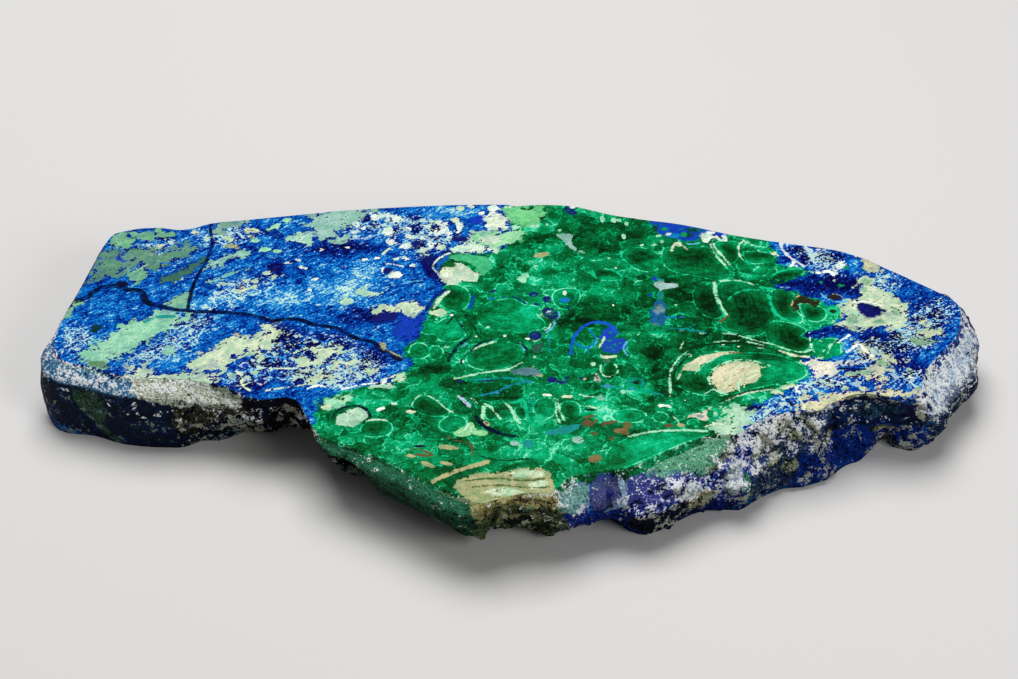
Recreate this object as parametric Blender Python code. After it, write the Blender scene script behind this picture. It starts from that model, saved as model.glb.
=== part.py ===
"""Polished slab of azurite and malachite: one natural stone, cut and polished flat on top.

Frame: +X runs along the slab's length, +Y away from its front edge, +Z up through the polished face.
The origin is the middle of the slab's box, on the surface that it rests on.  Lengths below are in
millimetres and are turned into metres when the mesh is made.
"""
from collections import namedtuple
from math import ceil, hypot, pi, sin

import bmesh
import bpy
from mathutils import Vector, noise

MM = 0.001

NAME = "azurite_malachite_slab"
THICKNESS = 24.0            # from the sawn underside to the polished face
COLUMN_SPACING = 2.4        # distance between columns of the wall's mesh, along the edge
FOOT_EASE = 9.0             # the lower rim's direction outwards is a mean over this far each way
PROFILE_BLEND = 5.5         # one stretch's profile turns into the next one's over this far
RINGS_TO_BELLY = 3          # rows of faces from the bevel's lower edge to the belly
RINGS_TO_FOOT = 4           # rows of faces from the belly to the underside
LUMP_SIZE = 8.5             # size of the lumps on broken stone
KNOB_SIZE = 11.0            # size of the rounded knobs on the natural back crust
UNDERSIDE_EASE = 0.9        # chips pull the lower rim in by this share of the roughness
SWAY = 0.8                  # rows of broken wall wander up and down by this share of the roughness
SWAY_SHIFT = Vector((31.0, 7.0, 3.0))

# The profile of the wall below one stretch of the polished face's edge.  Every "out" is measured
# outwards from that edge, and a negative one means that the stone is undercut.
#   bevel_out, bevel_drop   the ground or chipped bevel's lower edge: how far out and how far down
#   belly_out, belly_z      the wall halfway down, and its height above the underside
#   foot_out                the lower rim
#   rough                   how far broken stone stands out and falls back
#   knobs                   height of the rounded knobs of the natural crust
Profile = namedtuple("Profile", "bevel_out bevel_drop belly_out belly_z foot_out rough knobs")
Stretch = namedtuple("Stretch", "name profile edge")

# The edge of the polished face, anticlockwise from the near left corner.
STRETCHES = [
    Stretch("near left corner, ground bevel over a sawn wall",
            Profile(5.0, 4.0, 6.2, 12.0, 5.0, 0.2, 0.0),
            [(-134.8, -1.0), (-133.6, -5.5), (-131.2, -9.6)]),
    Stretch("left front, ground bevel over a sawn wall",
            Profile(4.6, 4.0, 5.2, 12.0, 3.2, 0.2, 0.0),
            [(-126.5, -11.8), (-121.0, -13.6), (-114.0, -16.6), (-106.0, -18.0), (-98.0, -18.4)]),
    Stretch("crumbling end of the left front bevel",
            Profile(4.2, 5.5, 3.2, 12.0, -1.0, 1.1, 0.0),
            [(-92.0, -19.2), (-87.0, -20.6)]),
    Stretch("broken shoulder of the notch",
            Profile(2.4, 4.0, -2.5, 12.0, -10.0, 1.5, 0.0),
            [(-83.0, -22.2), (-78.5, -24.4)]),
    Stretch("notch, a deep undercut",
            Profile(0.3, 0.8, -5.5, 12.0, -14.5, 1.4, 0.0),
            [(-74.5, -26.8), (-71.0, -28.2), (-67.0, -27.2), (-63.5, -27.2), (-60.8, -28.8)]),
    Stretch("right side of the notch",
            Profile(0.5, 1.0, -3.5, 12.0, -11.0, 1.0, 0.0),
            [(-59.4, -31.5), (-57.8, -35.5), (-55.8, -40.0)]),
    Stretch("green corner, bevelled and thinned from below",
            Profile(2.6, 3.2, -8.5, 13.0, -27.0, 0.4, 0.0),
            [(-53.2, -44.2), (-47.0, -47.6)]),
    Stretch("green diagonal front, bevelled saw cut that leans in under the face",
            Profile(4.0, 3.0, 1.6, 13.0, -12.5, 0.2, 0.0),
            [(-40.0, -51.4), (-34.0, -54.8), (-28.0, -58.8), (-22.0, -63.6), (-16.0, -68.0),
             (-10.5, -71.4)]),
    Stretch("front tip, broken and hollowed below",
            Profile(0.8, 1.5, -2.5, 12.0, -12.5, 1.8, 0.0),
            [(-7.5, -72.6), (-3.5, -71.2), (1.0, -69.6), (6.0, -68.2), (11.0, -69.0)]),
    Stretch("ground facet right of the tip",
            Profile(6.3, 9.0, 5.2, 11.0, -6.5, 0.6, 0.0),
            [(14.0, -65.6), (16.5, -62.2), (22.0, -60.2), (29.0, -58.6)]),
    Stretch("wide ground facet over the crystalline ledge",
            Profile(6.2, 4.6, 9.6, 13.0, 6.0, 1.7, 0.0),
            [(34.0, -57.6), (39.0, -54.6), (45.0, -50.4), (51.0, -46.6), (56.5, -44.0)]),
    Stretch("pale broken corner",
            Profile(3.4, 3.8, 9.0, 12.5, 7.5, 1.7, 0.0),
            [(60.5, -43.6), (64.0, -43.6), (66.5, -41.6)]),
    Stretch("rubbly slope",
            Profile(1.4, 2.0, 6.0, 12.0, 7.5, 2.1, 0.0),
            [(70.0, -38.8), (75.0, -35.4), (80.5, -33.4)]),
    Stretch("cream shoulder of the pocket",
            Profile(1.0, 1.5, 3.6, 12.0, 6.6, 2.0, 0.0),
            [(84.5, -33.6), (88.5, -33.0), (91.5, -30.8)]),
    Stretch("left of the pocket, a steep broken hollow",
            Profile(0.4, 1.0, 0.5, 12.0, 4.6, 1.7, 0.0),
            [(94.0, -28.6), (98.0, -26.4), (102.0, -25.3)]),
    Stretch("right of the pocket, undercut",
            Profile(0.4, 1.0, -3.5, 12.0, -9.0, 1.6, 0.0),
            [(107.0, -26.0), (112.5, -27.4), (116.8, -27.4)]),
    Stretch("right front, broad ground bevel",
            Profile(8.4, 10.0, 8.8, 9.0, 3.0, 0.9, 0.0),
            [(119.4, -23.4), (120.6, -18.0), (123.4, -12.0), (127.4, -6.6), (131.2, -1.6)]),
    Stretch("right end, ground bevel",
            Profile(6.2, 9.0, 6.8, 9.5, 4.0, 0.9, 0.0),
            [(134.0, 4.0), (135.6, 10.0), (136.2, 15.4)]),
    Stretch("far right, natural crust",
            Profile(1.6, 1.4, 4.0, 12.0, 1.0, 1.0, 2.0),
            [(134.4, 19.8), (130.0, 24.0), (125.0, 28.3), (120.0, 32.6), (115.5, 36.2), (112.0, 39.4),
             (107.0, 42.6)]),
    Stretch("far middle, natural crust",
            Profile(1.2, 1.2, 3.0, 12.0, -0.5, 1.0, 2.0),
            [(101.0, 45.4), (90.0, 48.2), (80.0, 50.6), (70.0, 53.4), (60.0, 57.2), (52.0, 59.7),
             (42.0, 61.8), (33.0, 64.2), (26.0, 67.0), (20.0, 69.2), (12.0, 69.9), (6.0, 69.6)]),
    Stretch("far left, sawn",
            Profile(0.9, 0.9, 0.8, 12.0, -0.8, 0.25, 0.0),
            [(2.2, 69.0), (-1.0, 70.0), (-18.0, 69.8), (-37.0, 68.4), (-52.0, 66.8), (-69.0, 64.0),
             (-84.0, 61.4), (-94.0, 59.7)]),
    Stretch("far left corner, chipped",
            Profile(0.8, 1.2, 0.8, 12.0, -1.2, 1.0, 0.0),
            [(-99.5, 57.0), (-104.5, 56.1), (-109.0, 57.1), (-115.5, 57.0), (-121.5, 55.2)]),
    Stretch("left side, sawn",
            Profile(0.8, 0.8, 0.4, 12.0, -0.6, 0.2, 0.0),
            [(-125.2, 52.0), (-128.2, 38.0), (-131.2, 22.0), (-134.2, 8.0)]),
]

Column = namedtuple("Column", "edge out foot_out profile")


def curve_point(before, start, end, after, share):
    """Point on the smooth curve from start to end, for a share of 0 to 1."""
    point = []
    for a, b, c, d in zip(before, start, end, after):
        bend = 2 * b + (c - a) * share
        bend += (2 * a - 5 * b + 4 * c - d) * share ** 2
        bend += (3 * b - a - 3 * c + d) * share ** 3
        point.append(bend / 2)
    return Vector(point)


def edge_points():
    """The polished face's edge at even spacing, each point with its stretch's profile."""
    stations = [(point, stretch.profile) for stretch in STRETCHES for point in stretch.edge]
    count = len(stations)
    points = []
    for index, (start, profile) in enumerate(stations):
        before = stations[index - 1][0]
        end = stations[(index + 1) % count][0]
        after = stations[(index + 2) % count][0]
        steps = max(1, ceil(hypot(end[0] - start[0], end[1] - start[1]) / COLUMN_SPACING))
        for step in range(steps):
            points.append((curve_point(before, start, end, after, step / steps), profile))
    return points


def neighbours(points, index, reach):
    """The points within a distance of one point along the edge, each with a weight."""
    here = points[index][0]
    steps = ceil(reach / COLUMN_SPACING) + 2
    for offset in range(-steps, steps + 1):
        point, profile = points[(index + offset) % len(points)]
        weight = max(0.0, 1.0 - (point - here).length / reach)
        yield (index + offset) % len(points), profile, weight


def blended_profile(points, index):
    """Mean of the profiles of the points near one point."""
    total = [0.0] * len(Profile._fields)
    weight_sum = 0.0
    for _, profile, weight in neighbours(points, index, PROFILE_BLEND):
        weight_sum += weight
        total = [value + weight * part for value, part in zip(total, profile)]
    return Profile(*(value / weight_sum for value in total))


def wall_columns():
    """One column for each edge point: where it is, which way is out, and its profile."""
    points = edge_points()
    count = len(points)
    outs = []
    for index in range(count):
        run = points[(index + 1) % count][0] - points[index - 1][0]
        outs.append(Vector((run.y, -run.x)).normalized())
    columns = []
    for index, (edge, _) in enumerate(points):
        foot_out = Vector((0.0, 0.0))
        for near, _, weight in neighbours(points, index, FOOT_EASE):
            foot_out += outs[near] * weight
        columns.append(Column(edge, outs[index], foot_out.normalized(), blended_profile(points, index)))
    return columns


def wall_path(profile):
    """(out, height, share of the roughness) down one column, from the edge to the lower rim."""
    bevel_z = THICKNESS - profile.bevel_drop
    belly_z = min(profile.belly_z, bevel_z - 1.5)
    path = [(0.0, THICKNESS, 0.0), (profile.bevel_out, bevel_z, 0.25)]
    for step in range(1, RINGS_TO_BELLY + 1):
        share = step / RINGS_TO_BELLY
        out = profile.bevel_out + (profile.belly_out - profile.bevel_out) * share
        path.append((out, bevel_z + (belly_z - bevel_z) * share, 1.0))
    for step in range(1, RINGS_TO_FOOT + 1):
        share = step / RINGS_TO_FOOT
        out = profile.belly_out + (profile.foot_out - profile.belly_out) * share ** 1.4
        out -= UNDERSIDE_EASE * profile.rough * (step == RINGS_TO_FOOT)
        path.append((out, belly_z * (1 - share), 1.0 - 0.6 * share))
    return path


def stone_relief(point, profile):
    """How far the wall stands out at a point: broken lumps and, on the crust, rounded knobs."""
    lumps = noise.fractal(point / LUMP_SIZE, 0.8, 2.1, 3) * profile.rough
    knob_distance = noise.voronoi(point / KNOB_SIZE, distance_metric="DISTANCE")[0][0]
    knobs = profile.knobs * (0.55 - knob_distance) * 1.6
    return lumps + knobs


def wall_point(column, out, height, rough_share):
    """Position in millimetres of one vertex of the wall."""
    outwards = column.out.lerp(column.foot_out, 1.0 - height / THICKNESS).normalized()
    point = (column.edge + outwards * out).to_3d()
    point.z = height
    relief = stone_relief(point, column.profile) * rough_share
    point += outwards.to_3d() * relief
    if 0.0 < height < THICKNESS:
        sway = noise.noise(point / LUMP_SIZE + SWAY_SHIFT) * column.profile.rough
        point.z += SWAY * sway * rough_share * sin(pi * height / THICKNESS)
    return point


def centre_on_origin(body):
    """Move the slab so that the middle of its box stands over the origin."""
    xs = [vert.co.x for vert in body.verts]
    ys = [vert.co.y for vert in body.verts]
    middle = Vector(((min(xs) + max(xs)) / 2, (min(ys) + max(ys)) / 2, 0.0))
    bmesh.ops.translate(body, vec=-middle, verts=body.verts[:])


def build_slab():
    """Loft the wall from the polished edge to the lower rim, and close it with two flat faces."""
    mesh = bpy.data.meshes.new(NAME)
    body = bmesh.new()
    rings = []
    for column in wall_columns():
        path = wall_path(column.profile)
        rings.append([body.verts.new(wall_point(column, *step) * MM) for step in path])
    for index, ring in enumerate(rings):
        following = rings[(index + 1) % len(rings)]
        for row in range(len(ring) - 1):
            body.faces.new((ring[row], ring[row + 1], following[row + 1], following[row]))
    body.faces.new([ring[0] for ring in rings])
    body.faces.new([ring[-1] for ring in reversed(rings)])
    bmesh.ops.triangulate(body, faces=body.faces[:])
    bmesh.ops.recalc_face_normals(body, faces=body.faces[:])
    centre_on_origin(body)
    body.to_mesh(mesh)
    body.free()
    return mesh


def stone_material():
    """Mixed blue-green stone with a polish."""
    material = bpy.data.materials.new("azurite_malachite")
    material.use_nodes = True
    shader = material.node_tree.nodes["Principled BSDF"]
    shader.inputs["Base Color"].default_value = (0.01, 0.16, 0.17, 1.0)
    shader.inputs["Roughness"].default_value = 0.25
    shader.inputs["Metallic"].default_value = 0.0
    return material


for old in list(bpy.data.objects):
    bpy.data.objects.remove(old)

collection = bpy.data.collections.new("azurite_malachite_specimen")
bpy.context.scene.collection.children.link(collection)
slab = bpy.data.objects.new(NAME, build_slab())
slab.data.materials.append(stone_material())
collection.objects.link(slab)
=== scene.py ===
from math import cos, pi, radians, sin

import bmesh
import bpy
import numpy as np
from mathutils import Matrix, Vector, noise
from mathutils.geometry import delaunay_2d_cdt


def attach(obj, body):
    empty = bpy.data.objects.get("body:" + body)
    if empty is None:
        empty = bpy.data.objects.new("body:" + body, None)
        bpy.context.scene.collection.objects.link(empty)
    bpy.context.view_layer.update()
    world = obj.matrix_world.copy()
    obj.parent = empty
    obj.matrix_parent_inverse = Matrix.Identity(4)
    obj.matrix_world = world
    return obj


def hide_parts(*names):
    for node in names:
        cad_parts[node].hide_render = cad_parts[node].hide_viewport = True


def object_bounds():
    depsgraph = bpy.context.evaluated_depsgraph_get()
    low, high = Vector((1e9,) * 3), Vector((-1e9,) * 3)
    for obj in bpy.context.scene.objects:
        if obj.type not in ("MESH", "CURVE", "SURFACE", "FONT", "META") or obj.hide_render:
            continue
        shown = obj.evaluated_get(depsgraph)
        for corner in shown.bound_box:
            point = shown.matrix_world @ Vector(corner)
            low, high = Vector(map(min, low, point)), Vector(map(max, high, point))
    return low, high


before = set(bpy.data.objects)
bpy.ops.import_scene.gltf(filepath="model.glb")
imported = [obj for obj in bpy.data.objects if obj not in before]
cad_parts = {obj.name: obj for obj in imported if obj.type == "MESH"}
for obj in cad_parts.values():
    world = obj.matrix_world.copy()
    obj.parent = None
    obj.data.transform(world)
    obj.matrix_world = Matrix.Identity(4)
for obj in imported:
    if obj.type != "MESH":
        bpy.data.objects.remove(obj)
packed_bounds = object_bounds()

# ---------------------------------------------------------------------------------------------
# The studio: a pale seamless floor, a large soft light overhead and behind, and a weak one in
# front.  The camera looks down on the polished face from the slab's front.
# ---------------------------------------------------------------------------------------------
MM = 0.001                                  # metres
CAMERA_PLACE = (-1.87, -561.95, 463.50)     # millimetres
CAMERA_TILT = 38.0                          # degrees below the horizon
CAMERA_LENS = 85.0                          # millimetres, and the sensor's width too
SENSOR_WIDTH = 36.0
CAMERA_REACH = 50.0                         # metres, as are the floor and the lights
FLOOR_SIZE = 12.0
FLOOR_COLOUR = (0.62, 0.61, 0.60)
FLOOR_ROUGHNESS = 0.85
LIGHTS_AIM = (0.0, 0.0, 0.0)
AIR_COLOUR = (0.86, 0.88, 0.92, 1.0)
AIR_STRENGTH = 0.12


def flat_finish(name, colour, roughness):
    """A plain matt material."""
    material = bpy.data.materials.new(name)
    material.use_nodes = True
    shader = material.node_tree.nodes["Principled BSDF"]
    shader.inputs["Base Color"].default_value = (*colour, 1.0)
    shader.inputs["Roughness"].default_value = roughness
    return material


bpy.ops.object.select_all(action="DESELECT")
bpy.ops.mesh.primitive_plane_add(size=FLOOR_SIZE, location=(0.0, 0.0, 0.0))
studio_floor = bpy.context.object
studio_floor.name = "studio_floor"
studio_floor.data.materials.append(flat_finish("pale_floor", FLOOR_COLOUR, FLOOR_ROUGHNESS))

bpy.ops.object.camera_add(location=[value * MM for value in CAMERA_PLACE],
                          rotation=(radians(90.0 - CAMERA_TILT), 0.0, 0.0))
camera = bpy.context.object
camera.data.lens = CAMERA_LENS
camera.data.sensor_width = SENSOR_WIDTH
camera.data.clip_end = CAMERA_REACH
bpy.context.scene.camera = camera


def soft_light(name, place, size, power):
    """A square softbox at a place, turned to face the slab."""
    bpy.ops.object.light_add(type="AREA", location=place)
    light = bpy.context.object
    light.name = name
    light.data.shape = "SQUARE"
    light.data.size = size
    light.data.energy = power
    turn = (Vector(LIGHTS_AIM) - Vector(place)).to_track_quat("-Z", "Y")
    light.rotation_euler = turn.to_euler()


soft_light("overhead_softbox", place=(-0.10, 0.35, 1.15), size=0.9, power=16.4)
soft_light("front_fill", place=(0.80, -0.85, 0.75), size=0.6, power=7.0)
world = bpy.data.worlds.new("studio_air")
world.use_nodes = True
world.node_tree.nodes["Background"].inputs["Color"].default_value = AIR_COLOUR
world.node_tree.nodes["Background"].inputs["Strength"].default_value = AIR_STRENGTH
bpy.context.scene.world = world
bpy.context.scene.view_settings.view_transform = "Standard"

# ---------------------------------------------------------------------------------------------
# The slab: one natural stone, azurite and malachite with pale matrix.  Its face is sawn and
# polished, its front edge ground to a bevel, and the rest is broken stone and natural crust.
# Lengths from here on are in millimetres.
# ---------------------------------------------------------------------------------------------
THICKNESS = 24.0
SKIN = 0.01                 # how near a flat face a point has to be to lie in it
WELD = 0.005                # points nearer than this are joined
WALL_CUTS = 2               # each edge of the wall's mesh is cut into three
FACE_SPACING = 1.05         # spacing of the polished face's mesh
LINE_SPACING = 0.5          # and beside its fine lines and small patches
LINE_REACH = 0.75           # how far from them the close mesh goes
SMALL_PATCH = 3.0           # the largest extent of a small patch
UNDER_SPACING = 4.0         # spacing of the underside's mesh
ROW_STEP = 0.866            # between a lattice's rows, as a share of its spacing
RIM_CLEAR = 0.45            # how far a lattice stays inside the rim, the same way
DATUM = (-1.873, 0.592)     # where the mineral outlines are measured from, in the slab's frame

# How rough the wall is, in millimetres, below points of the face's edge: (x, y, roughness).
WALL_ROUGHNESS = [
    (-133, -5, 0.15), (-120, -14, 0.15), (-103, -18, 0.2), (-92, -19, 0.7), (-84, -22, 0.9),
    (-75, -27, 0.9), (-64, -27, 0.9), (-58, -35, 0.7), (-52, -45, 0.35), (-40, -51, 0.2),
    (-25, -61, 0.2), (-14, -69, 0.5), (-4, -71, 1.0), (10, -69, 0.8), (20, -61, 0.6),
    (32, -58, 0.8), (45, -50, 1.0), (58, -44, 1.0), (66, -41, 1.0), (78, -34, 1.1),
    (90, -32, 1.0), (100, -26, 1.0), (115, -27, 0.8), (121, -17, 0.5), (130, -3, 0.4),
    (135, 10, 0.4), (130, 24, 0.7), (110, 41, 0.8), (80, 51, 0.8), (45, 61, 0.8),
    (10, 70, 0.7), (-5, 70, 0.3), (-40, 68, 0.15), (-80, 62, 0.15), (-95, 59, 0.3),
    (-110, 57, 0.6), (-123, 54, 0.4), (-128, 38, 0.15), (-132, 15, 0.15),
]


def outline_distance(points, outline):
    """Signed distance of each point to a closed outline, positive inside it."""
    outline = np.asarray(outline, float)
    ends = np.roll(outline, -1, axis=0)
    nearest = np.full(len(points), 1e9)
    inside = np.zeros(len(points), bool)
    for start, end in zip(outline, ends):
        nearest = np.minimum(nearest, run_distance(points, start, end))
        crosses = (start[1] > points[:, 1]) != (end[1] > points[:, 1])
        rise = end[1] - start[1] if end[1] != start[1] else 1e-9
        cut = start[0] + (points[:, 1] - start[1]) * (end[0] - start[0]) / rise
        inside ^= crosses & (points[:, 0] < cut)
    return np.where(inside, nearest, -nearest)


def run_distance(points, start, end):
    """Distance of each point to the straight run between two points."""
    run = end - start
    share = np.clip(((points - start) @ run) / max(run @ run, 1e-9), 0.0, 1.0)
    return np.hypot(*(points - start - share[:, None] * run).T)


# The slab's solid, joined up, without its polished face and its underside.
bpy.ops.object.select_all(action="DESELECT")
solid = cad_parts["azurite_malachite_slab"]
polished_slab = bpy.data.objects.new("polished_slab", solid.data.copy())
polished_slab.data.materials.clear()
bpy.context.scene.collection.objects.link(polished_slab)
stone = bmesh.new()
stone.from_mesh(polished_slab.data)
bmesh.ops.remove_doubles(stone, verts=stone.verts[:], dist=WELD * MM)
top = (THICKNESS - SKIN) * MM
flat_faces = [face for face in stone.faces if all(vert.co.z > top for vert in face.verts)
              or all(vert.co.z < SKIN * MM for vert in face.verts)]
bmesh.ops.delete(stone, geom=flat_faces, context="FACES")
bmesh.ops.subdivide_edges(stone, edges=stone.edges[:], cuts=WALL_CUTS, use_grid_fill=True)

# Broken stone: fine lumps and small chips on the wall, dying away at its two fixed rims.
TOP_FADE = 2.5
FOOT_FADE = 1.5
SPOT_BLUR, SPOT_POWER = 2.0, 4
LUMP_SIZE, LUMP_HEIGHT = 6.0, 1.3
LUMP_FRACTAL = (0.75, 2.1, 5)       # roughness, step between sizes, number of sizes
BLOCK_SIZE, BLOCK_HEIGHT = 6.5, 2.6
CHIP_SIZE, CHIP_HEIGHT = 2.6, 1.0
STEP_LEVEL = 1.3                    # the mean height of blocks and chips
spots = np.array(WALL_ROUGHNESS, float)
spots[:, :2] += DATUM
stone.normal_update()
box_low, box_high = (np.array(corner) for corner in packed_bounds)
for vert in stone.verts:
    if not SKIN * MM < vert.co.z < top:
        continue
    place = vert.co / MM
    gaps = np.hypot(spots[:, 0] - place.x, spots[:, 1] - place.y)
    weights = 1.0 / (gaps + SPOT_BLUR) ** SPOT_POWER
    amount = float(weights @ spots[:, 2] / weights.sum())
    amount *= min(1.0, (THICKNESS - place.z) / TOP_FADE, place.z / FOOT_FADE)
    lump = noise.fractal(place / LUMP_SIZE, *LUMP_FRACTAL)
    block = noise.voronoi(place / BLOCK_SIZE, distance_metric="DISTANCE")[0]
    chip = noise.voronoi(place / CHIP_SIZE, distance_metric="DISTANCE")[0]
    steps = (block[1] - block[0]) * BLOCK_HEIGHT + (chip[1] - chip[0]) * CHIP_HEIGHT - STEP_LEVEL
    moved = vert.co + vert.normal * (amount * (LUMP_HEIGHT * lump + steps) * MM)
    vert.co = np.clip(moved, box_low, box_high)


def rim_at(height):
    """The wall's open rim at a height: its vertices in order, and their points."""
    steps_from = {}
    for edge in stone.edges:
        if edge.is_boundary and abs(edge.verts[0].co.z - height * MM) < SKIN * MM:
            for vert in edge.verts:
                steps_from.setdefault(vert, []).append(edge.other_vert(vert))
    rim = [next(iter(steps_from))]
    while len(rim) < len(steps_from):
        onward = [vert for vert in steps_from[rim[-1]] if len(rim) < 2 or vert is not rim[-2]]
        rim.append(onward[0])
    points = np.array([vert.co.xy[:] for vert in rim]) / MM
    if np.cross(points, np.roll(points, -1, axis=0)).sum() < 0:
        rim.reverse()
        points = points[::-1]
    return rim, points


def fill_rim(rim, outline, inner, height):
    """Flat faces at a height over a rim, with points inside it."""
    flat = np.concatenate([outline, inner])
    count = len(outline)
    cells = delaunay_2d_cdt([Vector(point) for point in flat],
                            [(index, (index + 1) % count) for index in range(count)],
                            [], 1, 1e-6, False)[2]
    verts = rim + [stone.verts.new((x * MM, y * MM, height * MM)) for x, y in inner]
    spans = [cell for cell in cells if max(cell) < count]
    outside = {tuple(cell) for cell, gap in zip(spans, outline_distance(
        np.array([flat[list(cell)].mean(axis=0) for cell in spans]), outline)) if gap <= 0.0}
    for cell in cells:
        if tuple(cell) not in outside:
            stone.faces.new([verts[index] for index in cell])


# The polished face and the underside are flat meshes inside the wall's two rims.
rim, rim_points = rim_at(THICKNESS)
under_rim, under_points = rim_at(0.0)


def lattice(spacing):
    """Points of a three-way lattice over the slab."""
    low, high = rim_points.min(axis=0), rim_points.max(axis=0)
    columns, rows = np.meshgrid(np.arange(low[0], high[0], spacing),
                                np.arange(low[1], high[1], spacing * ROW_STEP))
    columns[1::2] += spacing / 2
    return np.stack([columns.ravel(), rows.ravel()], axis=1)


# ---------------------------------------------------------------------------------------------
# The minerals on the face, as outlines in millimetres.  Azurite is the ground colour, malachite
# fills the middle, and pale matrix, clay and dark azurite lie in both as patches and seams.
# ---------------------------------------------------------------------------------------------
WHITE = (236, 244, 230)
CREAM = (212, 224, 188)
MINT_CREAM = (188, 220, 190)
MINT = (160, 222, 184)
SEA = (126, 182, 142)
BRIGHT = (10, 184, 128)
JADE = (2, 140, 86)
SAGE = (150, 184, 146)
OLIVE = (62, 110, 84)
TAN = (176, 172, 124)
BROWN = (98, 76, 40)
UMBER = (40, 34, 12)
GREY = (152, 190, 176)
LILAC = (168, 190, 214)
SLATE = (88, 125, 136)
TEAL = (4, 138, 132)
SKY = (92, 178, 212)
AZURE = (4, 116, 194)
ROYAL = (6, 56, 178)
NAVY = (6, 16, 104)
INK = (0, 6, 40)
FOREST = (0, 50, 16)
ELLIPSE_SIDES = 14

patches = []
lines = []
shades = []
lobes = []
fleckings = []


def pairs(values):
    """A flat run of numbers as points, in the slab's frame."""
    return np.reshape(values, (-1, 2)) + DATUM


def rounded(points, closed):
    """Points along the same path with its corners cut off twice."""
    for _ in range(2):
        onward = np.roll(points, -1, axis=0)
        cut = np.stack([0.75 * points + 0.25 * onward, 0.25 * points + 0.75 * onward], axis=1)
        if closed:
            points = cut.reshape(-1, 2)
        else:
            points = np.concatenate([points[:1], cut[:-1].reshape(-1, 2), points[-1:]])
    return points


def ellipse(x, y, long, across, turn=0):
    """Outline of an ellipse; turn is in degrees."""
    angles = np.linspace(0.0, 2.0 * pi, ELLIPSE_SIDES + 1)[:-1]
    along, up = long * np.cos(angles), across * np.sin(angles)
    lean = radians(turn)
    xs = x + along * cos(lean) - up * sin(lean)
    ys = y + along * sin(lean) + up * cos(lean)
    return np.stack([xs, ys], axis=1) + DATUM


def placed(x, y, long, across, turn=0):
    """The same ellipse by its own measures, in the slab's frame and in radians."""
    return x + DATUM[0], y + DATUM[1], long, across, radians(turn)


def patch(tint, *values):
    """A patch of one mineral, by its outline."""
    patches.append((tint, pairs(values)))


def spots_of(tint, *spots):
    """Small patches, each (x, y, half length, half width, turn where it has one)."""
    for spot in spots:
        patches.append((tint, ellipse(*spot)))


def line(tint, width, *values):
    """A seam or band edge of one width, along points."""
    lines.append((tint, width, rounded(pairs(values), closed=False)))


def shade(depth, *spots):
    """Deeper colour, or lighter where depth is negative, fading out from ellipses."""
    for spot in spots:
        shades.append((depth, *placed(*spot)))


def lobe(*values):
    """A rounded malachite growth, by its outline, with bands that follow it."""
    lobes.append(rounded(pairs(values), closed=True))


def flecked(amount, *areas):
    """Pale flecks, dense in the middle of each ellipse, or fewer where amount is negative."""
    for area in areas:
        fleckings.append((amount, *placed(*area)))


malachite = pairs([
    2.0, 76.0, -1.0, 68.0, 1.8, 64.0, 0.3, 60.0, 1.2, 55.5, -0.6, 52.0, 0.4, 49.6, -2.6, 46.6,
    -8.0, 43.6, -13.5, 43.8, -17.7, 43.7, -21.7, 41.0, -24.0, 37.0, -22.3, 33.0, -20.7, 30.7,
    -18.6, 28.0, -19.6, 24.9, -22.0, 22.5, -23.7, 19.1, -24.4, 15.3, -24.4, 11.8, -26.1, 8.7,
    -27.2, 5.6, -26.5, 2.9, -27.9, -0.2, -29.9, -2.3, -31.0, -5.8, -29.9, -8.9, -28.2, -10.9,
    -27.5, -12.7, -29.6, -14.7, -33.4, -16.4, -34.4, -18.2, -34.6, -21.5, -37.9, -21.3,
    -42.1, -21.7, -46.3, -23.8, -50.4, -25.4, -54.6, -27.8, -55.4, -33.3, -54.6, -37.5,
    -62.0, -44.0, -62.0, -95.0, 22.0, -95.0, 16.0, -70.0, 19.0, -64.0, 24.0, -62.6, 32.0, -62.0,
    38.0, -60.0, 50.0, -52.4, 58.2, -48.4, 64.5, -44.5, 65.0, -38.0, 68.0, -33.0, 71.0, -29.5,
    76.0, -27.5, 80.0, -24.5, 84.0, -20.5, 87.5, -17.0, 88.0, -13.0, 86.0, -10.0, 89.0, -8.6,
    93.5, -10.4, 95.5, -9.0, 98.0, -7.0, 98.2, -4.0, 99.0, -1.0, 97.0, 0.7, 90.0, 1.0,
    85.6, 1.2, 90.0, 4.0, 94.0, 6.4, 99.0, 8.6, 100.5, 10.5, 100.5, 13.5, 99.5, 16.0,
    97.0, 16.6, 94.0, 18.8, 91.5, 21.0, 88.5, 22.4, 85.5, 24.8, 80.5, 26.4, 79.8, 28.4,
    84.5, 28.6, 86.6, 29.4, 89.6, 31.4, 91.8, 33.2, 92.6, 35.0, 89.5, 36.3, 86.0, 37.0,
    83.0, 38.2, 83.6, 40.6, 84.4, 43.4, 82.6, 46.8, 80.5, 50.0, 76.0, 58.0, 40.0, 76.0])

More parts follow.
